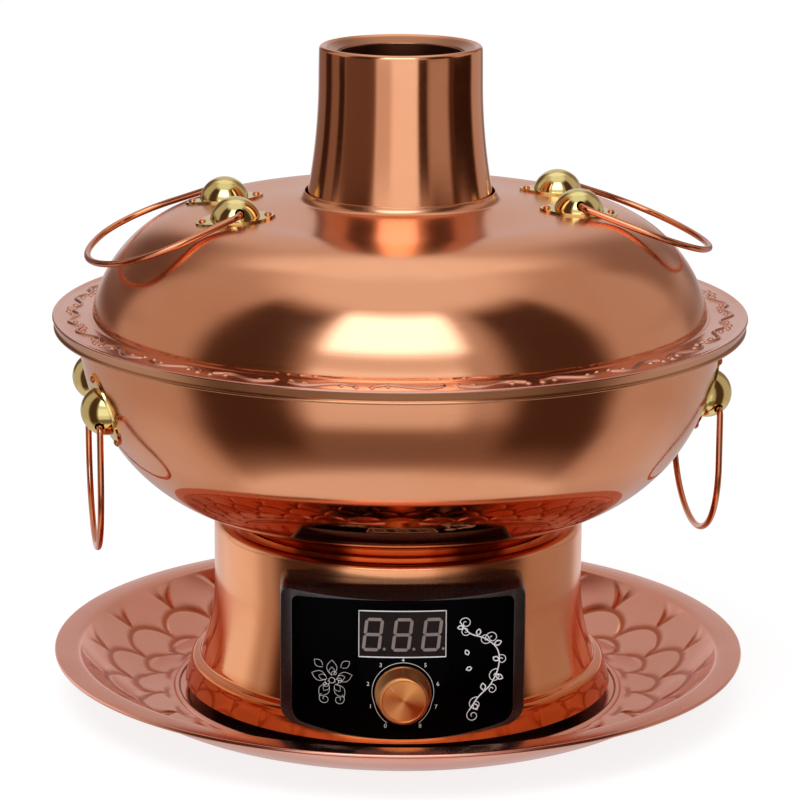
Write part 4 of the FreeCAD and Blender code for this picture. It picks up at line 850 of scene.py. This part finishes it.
# %% Turning marks
ROUND_REACH = 1.6
turning, ins, outs = new_group("turning_marks", (("Place", None), ("Spacing mm", 0.8)), ("Lines",))
axes = axes_of(turning, ins["Place"])
round_way = maths(turning, "ARCTAN2", axes[1], axes[0])
fine = maths(turning, "DIVIDE", 1000.0, ins["Spacing mm"])
spot = add(turning, "ShaderNodeCombineXYZ", {
    0: maths(turning, "MULTIPLY", radius_of(turning, axes), fine),
    1: maths(turning, "MULTIPLY", axes[2], fine),
    2: maths(turning, "MULTIPLY", maths(turning, "SINE", round_way), ROUND_REACH)}).outputs[0]
grooves = add(turning, "ShaderNodeTexNoise", {
    "Vector": spot,
    "W": maths(turning, "MULTIPLY", maths(turning, "COSINE", round_way), ROUND_REACH),
    "Scale": 1.0, "Detail": 3.0, "Roughness": 0.6}, noise_dimensions="4D").outputs["Fac"]
turning.links.new(grooves, outs["Lines"])
print("turning marks:", len(turning.nodes), "nodes")

# %% [markdown]
# ### Handling
# Polished copper never stays even: it carries faint cloudy patches where it was wiped and
# a few small spots. Both come from noise in the piece's own space.

# %% Handling marks
handling, ins, outs = new_group("handling_marks", (("Scale", 14.0),), ("Clouds", "Spots"))
place = own_place(handling)
clouds = add(handling, "ShaderNodeTexNoise", {
    "Vector": place, "Scale": ins["Scale"], "Detail": 4.0, "Roughness": 0.55,
    "Distortion": 0.6}).outputs["Fac"]
specks = add(handling, "ShaderNodeTexNoise", {
    "Vector": place, "Scale": 420.0, "Detail": 2.0}).outputs["Fac"]
for noise, low, high, socket in ((clouds, 0.35, 0.7, "Clouds"), (specks, 0.68, 0.78, "Spots")):
    handling.links.new(remap(handling, noise, low, high, 0.0, 1.0, smooth=True), outs[socket])
print("handling marks:", len(handling.nodes), "nodes")

# %% [markdown]
# ### Metals
# Every metal here is one shader with its own colour, a second tone in the clouds, a
# roughness that rises in clouds and spots, and the turning marks as a shallow relief.
# Brushing smears the shine across its lines: that is a constant anisotropy on the shader
# itself. The knob was turned on its own axis, so its marks and its smear are laid round
# that axis instead of the pot's. A picture of worn copper would show its repeats and its
# seams on pieces as round as these; noise has neither.

# %% Metal helper
SPOT_ROUGHER, LINE_ROUGHER, LINE_DEEP = 0.05, 0.02, 0.00002
BRUSHED_ROUND, TURNED_FRONT = 0.25, 0.34


def two_tones(tree, clouds, colour, second):
    """A colour that turns to a second one in the clouds."""
    tone = add(tree, "ShaderNodeMix", data_type="RGBA")
    tree.links.new(clouds, tone.inputs["Factor"])
    tone.inputs["A"].default_value = (*colour, 1)
    tone.inputs["B"].default_value = (*second, 1)
    return tone.outputs["Result"]


def new_finish(name, clouds_scale):
    """A material, its tree, its shader, and the outputs of its handling marks."""
    material = bpy.data.materials.new(name)
    material.use_nodes = True
    tree = material.node_tree
    worn = add(tree, "ShaderNodeGroup", node_tree=handling)
    worn.inputs["Scale"].default_value = clouds_scale
    return material, tree, tree.nodes["Principled BSDF"], worn.outputs


def metal(name, colour, second, roughness, rougher, spacing, depth, smear=0.0, forward=False):
    """A metal finish; `depth` is the strength of its relief, `smear` its anisotropy, and
    `forward` lays the turning marks round the knob's axis."""
    material, tree, shader, worn = new_finish(name, 14.0)
    place = own_place(tree)
    if forward:
        place = add(tree, "ShaderNodeMapping", {
            "Vector": place, "Location": (0, KNOB_Z * MM, 0),
            "Rotation": (math.radians(90), 0, 0)}).outputs[0]
        around = add(tree, "ShaderNodeTangent", direction_type="RADIAL", axis="Y").outputs[0]
        tree.links.new(around, shader.inputs["Tangent"])
    lines = add(tree, "ShaderNodeGroup", {"Place": place}, node_tree=turning)
    lines.inputs["Spacing mm"].default_value = spacing
    rough = maths(tree, "ADD", remap(tree, worn["Clouds"], 0, 1, roughness, rougher),
                  maths(tree, "MULTIPLY", worn["Spots"], SPOT_ROUGHER))
    rough = maths(tree, "ADD", rough, remap(tree, lines.outputs["Lines"], 0.3, 0.7,
                                            -LINE_ROUGHER, LINE_ROUGHER))
    relief = add(tree, "ShaderNodeBump", {"Strength": depth, "Distance": LINE_DEEP,
                                          "Height": lines.outputs["Lines"]}).outputs["Normal"]
    lay = TURNED_FRONT if forward else BRUSHED_ROUND if smear else 0.0
    shader.inputs["Metallic"].default_value = 1.0
    shader.inputs["Anisotropic"].default_value = smear
    shader.inputs["Anisotropic Rotation"].default_value = lay
    tone = two_tones(tree, worn["Clouds"], colour, second)
    tree.links.new(tone, shader.inputs["Base Color"])
    tree.links.new(rough, shader.inputs["Roughness"])
    tree.links.new(relief, shader.inputs["Normal"])
    return material


# %% [markdown]
# One sheet of copper looks different on every piece: the tray is pinkish and a little
# dull, the bowl and the lid are polished, the chimney is drawn and mirrors in stripes, and
# its liner is dark brown. So each has its own row of values for the same helper.

# %% Copper, brass and steel
METALS = {values[0]: metal(*values) for values in (
    # name, colour, second tone, roughness, rougher, spacing of marks, relief, smear, forward
    ("copper_tray", (0.85, 0.385, 0.27), (0.82, 0.345, 0.23), 0.18, 0.26, 1.0, 0.3),
    ("copper_satin", (0.86, 0.36, 0.165), (0.83, 0.32, 0.14), 0.17, 0.23, 0.7, 0.4),
    ("copper_polished", (0.86, 0.385, 0.20), (0.83, 0.35, 0.17), 0.13, 0.18, 0.7, 0.3),
    ("copper_rim", (0.84, 0.43, 0.31), (0.80, 0.37, 0.25), 0.15, 0.22, 0.7, 0.3),
    ("copper_drawn", (0.84, 0.37, 0.19), (0.81, 0.33, 0.16), 0.12, 0.15, 0.6, 0.2, 0.6),
    ("copper_dark_brown", (0.20, 0.07, 0.035), (0.15, 0.05, 0.025), 0.34, 0.44, 0.9, 0.4),
    ("copper_wire", (0.76, 0.28, 0.13), (0.66, 0.22, 0.10), 0.14, 0.22, 0.9, 0.2),
    ("knob_copper", (0.88, 0.37, 0.12), (0.84, 0.33, 0.10), 0.32, 0.38, 0.30, 0.5, 0.97, True),
    ("brass", (0.88, 0.71, 0.29), (0.80, 0.61, 0.22), 0.07, 0.12, 0.9, 0.15),
    ("steel", (0.60, 0.60, 0.59), (0.50, 0.50, 0.50), 0.30, 0.42, 0.6, 0.5),
    ("aluminium", (0.76, 0.77, 0.78), (0.68, 0.69, 0.70), 0.34, 0.46, 0.8, 0.6),
    ("contact_brass", (0.80, 0.62, 0.30), (0.70, 0.52, 0.24), 0.20, 0.30, 0.5, 0.3))}
print("metals:", *METALS)

# %% [markdown]
# Some finishes change over their piece. The chased lines of the tray and the rim are painted
# dark, a painted shade of their relief. The side of the rim, the base's skirt and the bowl's
# underside are painted redder and browner, a painted shade and reflection, and all but the
# side are glossier there. The inside of the chimney's mouth is darker and browner. `blend`
# mixes what feeds a socket with a fixed value, by a mask.

# %% Blending helper
def blend(material, socket, mask, value):
    """Mixes the present feed of the shader's socket with `value` where `mask` is 1."""
    tree = material.node_tree
    target = tree.nodes["Principled BSDF"].inputs[socket]
    mix = add(tree, "ShaderNodeMix", data_type="FLOAT" if socket == "Roughness" else "RGBA")
    tree.links.new(mask, mix.inputs["Factor"])
    tree.links.new(target.links[0].from_socket, mix.inputs["A"])
    mix.inputs["B"].default_value = value
    tree.links.new(mix.outputs["Result"], target)


# %% Painted shade in the lines, and changes by height
PAINTED_LINE_SHADE = {"copper_tray": (0.50, 0.12, 0.045, 1), "copper_rim": (0.56, 0.21, 0.09, 1)}
GLOSS_AND_PAINTED_SHADE_BY_HEIGHT = (  # metal, socket, value, height in metres where it starts and where it is full
    ("copper_satin", "Roughness", 0.07, 0.062, 0.030),
    # painted shade and reflection: the skirt's low band is painted redder and darker
    ("copper_satin", "Base Color", (0.68, 0.18, 0.05, 1), 0.022, 0.016),
    ("copper_polished", "Roughness", 0.24, 0.215, 0.232),
    ("copper_polished", "Roughness", 0.06, 0.140, 0.122),
    # painted reflection: the bowl's underside is painted redder and darker, like copper mirrored in
    # copper
    ("copper_polished", "Base Color", (0.64, 0.17, 0.045, 1), 0.130, 0.106),
    # painted shade: the rim's side is painted darker
    ("copper_rim", "Base Color", (0.62, 0.30, 0.15, 1), 0.1812, 0.1808),
)
# painted shade: the chased lines of the tray and the rim are painted darker
for name, polish in PAINTED_LINE_SHADE.items():
    chased = add(METALS[name].node_tree, "ShaderNodeAttribute", attribute_name="chased")
    blend(METALS[name], "Base Color", chased.outputs["Fac"], polish)
for name, socket, value, start, full in GLOSS_AND_PAINTED_SHADE_BY_HEIGHT:
    tree = METALS[name].node_tree
    height = axes_of(tree, own_place(tree))[2]
    blend(METALS[name], socket, remap(tree, height, start, full, 0, 1), value)
print(len(PAINTED_LINE_SHADE), "chased finishes,", len(GLOSS_AND_PAINTED_SHADE_BY_HEIGHT), "changes by height")

# %% [markdown]
# Only the inside of the chimney's mouth is darker and browner. Height alone would darken its
# outside as well, so this mask also asks how far a place is from the axis.

# %% The darker mouth of the chimney
tree = METALS["copper_drawn"].node_tree
axes = axes_of(tree, own_place(tree))
mouth = maths(tree, "MULTIPLY",
              remap(tree, radius_of(tree, axes), 0.0346, 0.0332, 0, 1, smooth=True),
              remap(tree, axes[2], 0.290, 0.300, 0, 1))
blend(METALS["copper_drawn"], "Base Color", mouth, (0.44, 0.17, 0.075, 1))
blend(METALS["copper_drawn"], "Roughness", mouth, 0.25)
print("the chimney's mouth is darker inside 33 mm of its axis")

# %% [markdown]
# ### Plastics
# The housing is moulded in a die with a fine leather-like grain: small cells of noise as a
# relief, and a sheen that is a little uneven. The plate is gloss plastic with hardly any
# grain but faint wiping marks. Rubber and the inlet's plastic are made the same way with
# other values.

# %% Plastic helper
GRAIN_ROUGHER, GRAIN_DEEP = 0.12, 0.00006


def plastic(name, colour, second, roughness, rougher, grain, depth, specular=0.5, glow=0.0):
    """A moulded finish; `grain` in millimetres, `depth` the strength of its relief."""
    material, tree, shader, worn = new_finish(name, 30.0)
    cells = add(tree, "ShaderNodeTexVoronoi", {"Vector": own_place(tree), "Scale": 1000 / grain},
                feature="SMOOTH_F1").outputs["Distance"]
    tone = two_tones(tree, worn["Clouds"], colour, second)
    rough = maths(tree, "ADD", remap(tree, worn["Clouds"], 0, 1, roughness, rougher),
                  maths(tree, "MULTIPLY", cells, GRAIN_ROUGHER))
    relief = add(tree, "ShaderNodeBump", {"Strength": depth, "Distance": GRAIN_DEEP,
                                          "Height": cells}).outputs["Normal"]
    shader.inputs["Specular IOR Level"].default_value = specular
    tree.links.new(tone, shader.inputs["Base Color"])
    tree.links.new(rough, shader.inputs["Roughness"])
    tree.links.new(relief, shader.inputs["Normal"])
    # painted light: the print's own glow
    if glow:
        tree.links.new(tone, shader.inputs["Emission Color"])
        shader.inputs["Emission Strength"].default_value = glow
    return material


# %% [markdown]
# The plate is nearly black and hardly mirrors, or the dark room would lie on it like a
# veil. The print is given a trace of its own glow, a painted light that makes the white ink
# brighter than the lamps alone would.

# %% Housing, plate, print and rubber
PLASTICS = {values[0]: plastic(*values) for values in (
    # name, colour, second tone, roughness, rougher, grain in mm, relief, specular, glow
    ("housing_black", (0.018, 0.008, 0.007), (0.026, 0.012, 0.010), 0.18, 0.26, 0.5, 0.35, 0.8),
    ("plate_black", (0.0008, 0.0006, 0.0006), (0.0014, 0.001, 0.001), 0.14, 0.22, 0.3, 0.03, 0.015),
    ("window_dark", (0.014, 0.009, 0.008), (0.022, 0.014, 0.012), 0.2, 0.28, 0.25, 0.15, 0.08),
    ("print_white", (0.88, 0.87, 0.88), (0.74, 0.72, 0.73), 0.40, 0.55, 0.3, 0.2, 0.3, 0.15),
    ("bar_grey", (0.36, 0.29, 0.27), (0.29, 0.23, 0.21), 0.35, 0.5, 0.25, 0.3, 0.3),
    ("inlet_black", (0.012, 0.012, 0.012), (0.02, 0.02, 0.02), 0.36, 0.48, 0.4, 0.3),
    ("board_green", (0.02, 0.12, 0.05), (0.03, 0.16, 0.07), 0.35, 0.5, 0.8, 0.2),
    ("rubber", (0.015, 0.015, 0.015), (0.03, 0.03, 0.03), 0.65, 0.85, 0.5, 0.6))}
print("plastics:", *PLASTICS)

# %% [markdown]
# ### Each piece gets its finish
# Each new piece is listed with the slot of the record that its finish belongs to, though
# nothing here reads that column. The solids that stay in view, such as the pressed ears, the
# wire bails and the rivets, and those inside, get the finish of their slot. A list keeps that
# in one place, where a wrong finish is found at a glance.

# %% Give out the finishes
FINISHES = METALS | PLASTICS
DRESS = (  # piece, finish, slot
    ("tray_dish", "copper_tray", "copper_tray"), ("base_wall", "copper_satin", "copper_satin"),
    ("bowl", "copper_polished", "copper_polished"),
    ("foot_ring", "copper_polished", "copper_polished"),
    ("pot_rim_sheet", "copper_rim", "copper_polished"),
    ("inner_cone_sheet", "copper_polished", "copper_polished"),
    ("chimney", "copper_drawn", "copper_polished"),
    ("chimney_inside", "copper_dark_brown", "copper_polished"),
    ("lid", "copper_polished", "copper_polished"),
    ("lid_ring", "copper_polished", "copper_polished"),
    ("panel_frame", "housing_black", "panel_plastic"),
    ("panel_plate", "plate_black", "panel_face"), ("panel_print", "print_white", "panel_face"),
    ("display_bars", "bar_grey", "display"), ("knob", "knob_copper", "knob"),
    ("knob_pointer", "aluminium", "knob"),
)
for name, finish, slot in DRESS:
    piece = bpy.data.objects[name]
    piece.data.materials.clear()
    piece.data.materials.append(FINISHES[finish])
SLOTS = {"black_plastic": "inlet_black", "board": "board_green", "display": "window_dark",
         "knob": "knob_copper", "panel_plastic": "housing_black", "panel_face": "plate_black"}
for node in nodes.values():
    for holder in node.material_slots:
        slot = holder.material.name
        holder.material = FINISHES[SLOTS.get(slot, slot)]
print(f"{len(DRESS)} pieces and {len(nodes)} solids have their finish")

# %% [markdown]
# ## The studio
# Polished copper shows what stands around it, so the studio matters as much as the finish.
# The pot stands on a pale floor, inside a tent of white cloth with soft lamps behind it and
# dark cards beside it. The tent is a ball that only reflections see, and its light is
# worked out from the direction: azimuth from the front (positive to the right) and height
# above the horizon. Each card is a soft-edged window in those two angles. Real cards would
# also throw light and shadows, and each would have to be moved by hand.

# %% A soft-edged card
card, ins, outs = new_group("studio_card", (
    ("Azimuth", 0), ("Height", 0), ("Azimuth from", 0), ("Azimuth to", 0), ("Height from", 0),
    ("Height to", 0), ("Soft", 8)), ("Mask",))
edges = []
half = maths(card, "MULTIPLY", ins["Soft"], 0.5)
for angle in ("Azimuth", "Height"):
    for edge, first, last in ((f"{angle} from", 0.0, 1.0), (f"{angle} to", 1.0, 0.0)):
        below = maths(card, "SUBTRACT", ins[edge], half)
        above = maths(card, "ADD", ins[edge], half)
        edges.append(remap(card, ins[angle], below, above, first, last, smooth=True))
mask = maths(card, "MULTIPLY", maths(card, "MULTIPLY", edges[0], edges[1]),
             maths(card, "MULTIPLY", edges[2], edges[3]))
card.links.new(mask, outs["Mask"])
print("a card has", len(edges), "soft edges")

# %% [markdown]
# The cards are listed from the back to the front: a later one covers an earlier one. A
# card that stands on both sides is given by the size of its azimuth alone. The narrow
# strips hang beside the chimney, so only the upper pieces mirror them, and two pale boards
# lie low beside the base, so only the lower pieces do.

# %% The cards
CARDS = (  # name, on both sides, azimuth from, to, height from, to, softness, level, seen from
    ("ceiling", True, -9, 189, 64, 99, 16, 0.85, "all"),
    ("back ceiling", True, 135, 189, 52, 80, 14, 1.0, "all"),
    ("back wall", True, 163, 189, -20, 46, 12, 0.66, "all"),
    ("back cards", True, 128, 158, -4, 42, 12, 0.27, "all"),
    ("left back card", False, -160, -128, -2, 34, 8, 0.14, "all"),
    ("near floor", True, -9, 189, -99, -54, 8, 0.8, "all"),
    ("side floor", True, 95, 189, -56, -28, 12, 0.62, "all"),
    ("table", True, -9, 84, -52, -28, 12, 0.22, "all"),
    ("front side cards", True, 38, 80, -44, 60, 14, 0.07, "all"),
    ("front wall", False, -33, 22, -30, 68, 9, 0.8, "all"),
    ("front softbox", False, -32, 24, 30, 62, 10, 2.3, "all"),
    ("low front softbox", False, -33, 22, -14, 17, 7, 1.08, "all"),
    ("far side screens", True, 96, 162, -16, 12, 10, 0.24, "above"),
    ("right far light", False, 114, 150, -16, 12, 10, 0.50, "above"),
    ("softbox edge", False, -34, -14, -14, 9, 9, 0.72, "above"),
    ("dark gap", False, 23, 36, -14, 9, 5, 0.05, "above"),
    ("right strip", False, 38, 68, -16, 8, 7, 0.45, "above"),
    ("right dark strip", False, 76, 114, -14, 6, 7, 0.03, "above"),
    ("left dark strip", False, -97, -84, -14, 6, 6, 0.03, "above"),
    ("left far dark strip", False, -129, -113, -14, 6, 6, 0.04, "above"),
    ("left front strip", False, -84, -37, -14, 8, 7, 0.15, "above"),
    ("low back wall", True, 112, 189, -26, 56, 14, 0.58, "below"),
    ("low back board", True, 112, 189, -26, 8, 10, 0.80, "below"),
    ("left low board", False, -140, -96, -26, 20, 14, 0.95, "below"),
    ("right low board", False, 84, 140, -26, 20, 14, 0.45, "below"),
)
print(len(CARDS), "cards,", sum(c[-1] != "all" for c in CARDS), "of them for some pieces only")

# %% [markdown]
# The tent finds the height a reflection comes from by going back along its ray: from the
# place where the ray meets the ball, as far back as the ray is long. Above 200 mm there is
# little but the lid and the chimney, and below 85 mm little but the base and the tray.

# %% Directions in the tent
TENT_RADIUS, TENT_MIDDLE = 4, 0.15
bpy.ops.object.select_all(action="DESELECT")
bpy.ops.mesh.primitive_uv_sphere_add(segments=48, ring_count=24, radius=TENT_RADIUS,
                                     location=(0, 0, TENT_MIDDLE))
tent = bpy.context.object
tent.name = "tent"
for ray in ("visible_camera", "visible_diffuse", "visible_shadow", "visible_volume_scatter"):
    setattr(tent, ray, False)
tent_light = bpy.data.materials.new("tent_light")
tent_light.use_nodes = True
tree = tent_light.node_tree
tree.nodes.remove(tree.nodes["Principled BSDF"])
heading = axes_of(tree, add(tree, "ShaderNodeVectorMath", {0: own_place(tree)},
                            operation="NORMALIZE").outputs[0])
front = maths(tree, "MULTIPLY", heading[1], -1.0)
azimuth = maths(tree, "DEGREES", maths(tree, "ARCTAN2", heading[0], front))
height = maths(tree, "DEGREES", maths(tree, "ARCSINE", heading[2]))
width = maths(tree, "ABSOLUTE", azimuth)
geometry = add(tree, "ShaderNodeNewGeometry").outputs
ray_long = add(tree, "ShaderNodeLightPath").outputs["Ray Length"]
way_back = add(tree, "ShaderNodeVectorMath", {0: geometry["Incoming"], "Scale": ray_long},
               operation="SCALE").outputs[0]
origin = axes_of(tree, add(tree, "ShaderNodeVectorMath",
                           {0: geometry["Position"], 1: way_back}).outputs[0])[2]
seen_from = {"above": remap(tree, origin, 0.19, 0.21, 0, 1),
             "below": remap(tree, origin, 0.09, 0.08, 0, 1)}
print("tent of", TENT_RADIUS, "m radius knows where a reflection comes from")

# %% [markdown]
# Shade inside the tent is warm, because it is lit by copper, so green and blue fall faster
# than red. The light starts at the plain cloth's level, and each card mixes in its own.

# %% Light of the tent
CLOTH_LEVEL = 0.52
GREEN_FALL, GREEN_GAIN, BLUE_FALL, BLUE_GAIN = 1.25, 1.06, 1.4, 1.15
level = CLOTH_LEVEL
for name, both, az_from, az_to, high_from, high_to, soft, value, where in CARDS:
    shape = add(tree, "ShaderNodeGroup", dict(enumerate((
        width if both else azimuth, height, az_from, az_to, high_from, high_to, soft))),
        node_tree=card, label=name)
    mask = shape.outputs[0]
    if where != "all":
        mask = maths(tree, "MULTIPLY", mask, seen_from[where])
    level = add(tree, "ShaderNodeMix", {"Factor": mask, "A": level, "B": value}).outputs[0]
green = maths(tree, "MULTIPLY", maths(tree, "POWER", level, GREEN_FALL), GREEN_GAIN)
blue = maths(tree, "MULTIPLY", maths(tree, "POWER", level, BLUE_FALL), BLUE_GAIN)
shade = add(tree, "ShaderNodeCombineColor", {0: level, 1: green, 2: blue}).outputs[0]
glow = add(tree, "ShaderNodeEmission", {"Color": shade, "Strength": 1.0}).outputs[0]
tree.links.new(glow, tree.nodes["Material Output"].inputs["Surface"])
tent.data.materials.append(tent_light)
print("tent light of", len(tree.nodes), "nodes")

# %% [markdown]
# ### Floor, world and lamp
# The floor is white to the camera. It is partly a plain diffuse white, so it keeps a soft
# shadow, and partly its own light, so it reaches white without stronger lamps. A floor of
# light alone would swallow the shadow. Rays other than the camera's meet a plain matt
# white, and reflections meet the tent in its place.

# %% Floor
FLOOR_LEVEL, FLOOR_LIGHT = -0.0002, 0.82
bpy.ops.object.select_all(action="DESELECT")
bpy.ops.mesh.primitive_circle_add(vertices=96, radius=8, fill_type="NGON",
                                  location=(0, 0, FLOOR_LEVEL))
floor = bpy.context.object
floor.name = "floor"
floor.visible_glossy = False
floor_white = bpy.data.materials.new("floor_white")
floor_white.use_nodes = True
tree = floor_white.node_tree
tree.nodes.remove(tree.nodes["Principled BSDF"])
to_eye = add(tree, "ShaderNodeLightPath").outputs["Is Camera Ray"]
cloth = add(tree, "ShaderNodeTexNoise", {
    "Vector": own_place(tree), "Scale": 60.0, "Detail": 3.0}).outputs["Fac"]
pale = add(tree, "ShaderNodeMix", {
    "Factor": cloth, "A": (0.28, 0.28, 0.28, 1), "B": (0.30, 0.30, 0.30, 1)},
    data_type="RGBA").outputs["Result"]
matt = add(tree, "ShaderNodeBsdfDiffuse", {"Color": pale}).outputs[0]
own_light = add(tree, "ShaderNodeEmission", {
    "Color": (1, 1, 1, 1), "Strength": FLOOR_LIGHT}).outputs[0]
lit = add(tree, "ShaderNodeAddShader", {0: matt, 1: own_light}).outputs[0]
plain = add(tree, "ShaderNodeBsdfDiffuse", {"Color": (0.8, 0.8, 0.8, 1)}).outputs[0]
both_ways = add(tree, "ShaderNodeMixShader", {0: to_eye, 1: plain, 2: lit}).outputs[0]
tree.links.new(both_ways, tree.nodes["Material Output"].inputs["Surface"])
floor.data.materials.append(floor_white)
print("floor gives", FLOOR_LIGHT, "of its own light")

# %% [markdown]
# The world is white where it is seen directly and a little dimmer as a light. One large
# lamp above gives the plastics their shading and the floor its shadow; reflections don't
# see it, because the tent already shows its softbox.

# %% World and lamp
WORLD_LIGHT, LAMP_WATTS, LAMP_WIDE = 0.6, 14, 1.4
scene = bpy.context.scene
scene.world = bpy.data.worlds.new("white_room")
scene.world.use_nodes = True
tree = scene.world.node_tree
path = add(tree, "ShaderNodeLightPath").outputs
direct = maths(tree, "MAXIMUM", path["Is Camera Ray"],
               maths(tree, "MAXIMUM", path["Is Glossy Ray"], path["Is Transmission Ray"]))
background = tree.nodes["Background"].inputs
background["Color"].default_value = (1, 1, 1, 1)
tree.links.new(remap(tree, direct, 0, 1, WORLD_LIGHT, 1.0), background["Strength"])
bpy.ops.object.light_add(type="AREA", location=(-0.3, -0.7, 1.7))
lamp = bpy.context.object
lamp.name = "soft_lamp"
lamp.data.shape, lamp.data.size = "DISK", LAMP_WIDE
lamp.data.energy = LAMP_WATTS
aim = Vector((0, 0, 0.1)) - lamp.location
lamp.rotation_euler = aim.to_track_quat("-Z", "Y").to_euler()
lamp.visible_glossy = False
scene.view_settings.view_transform = "Standard"
print("white room at", WORLD_LIGHT, "and a lamp of", LAMP_WATTS, "W")
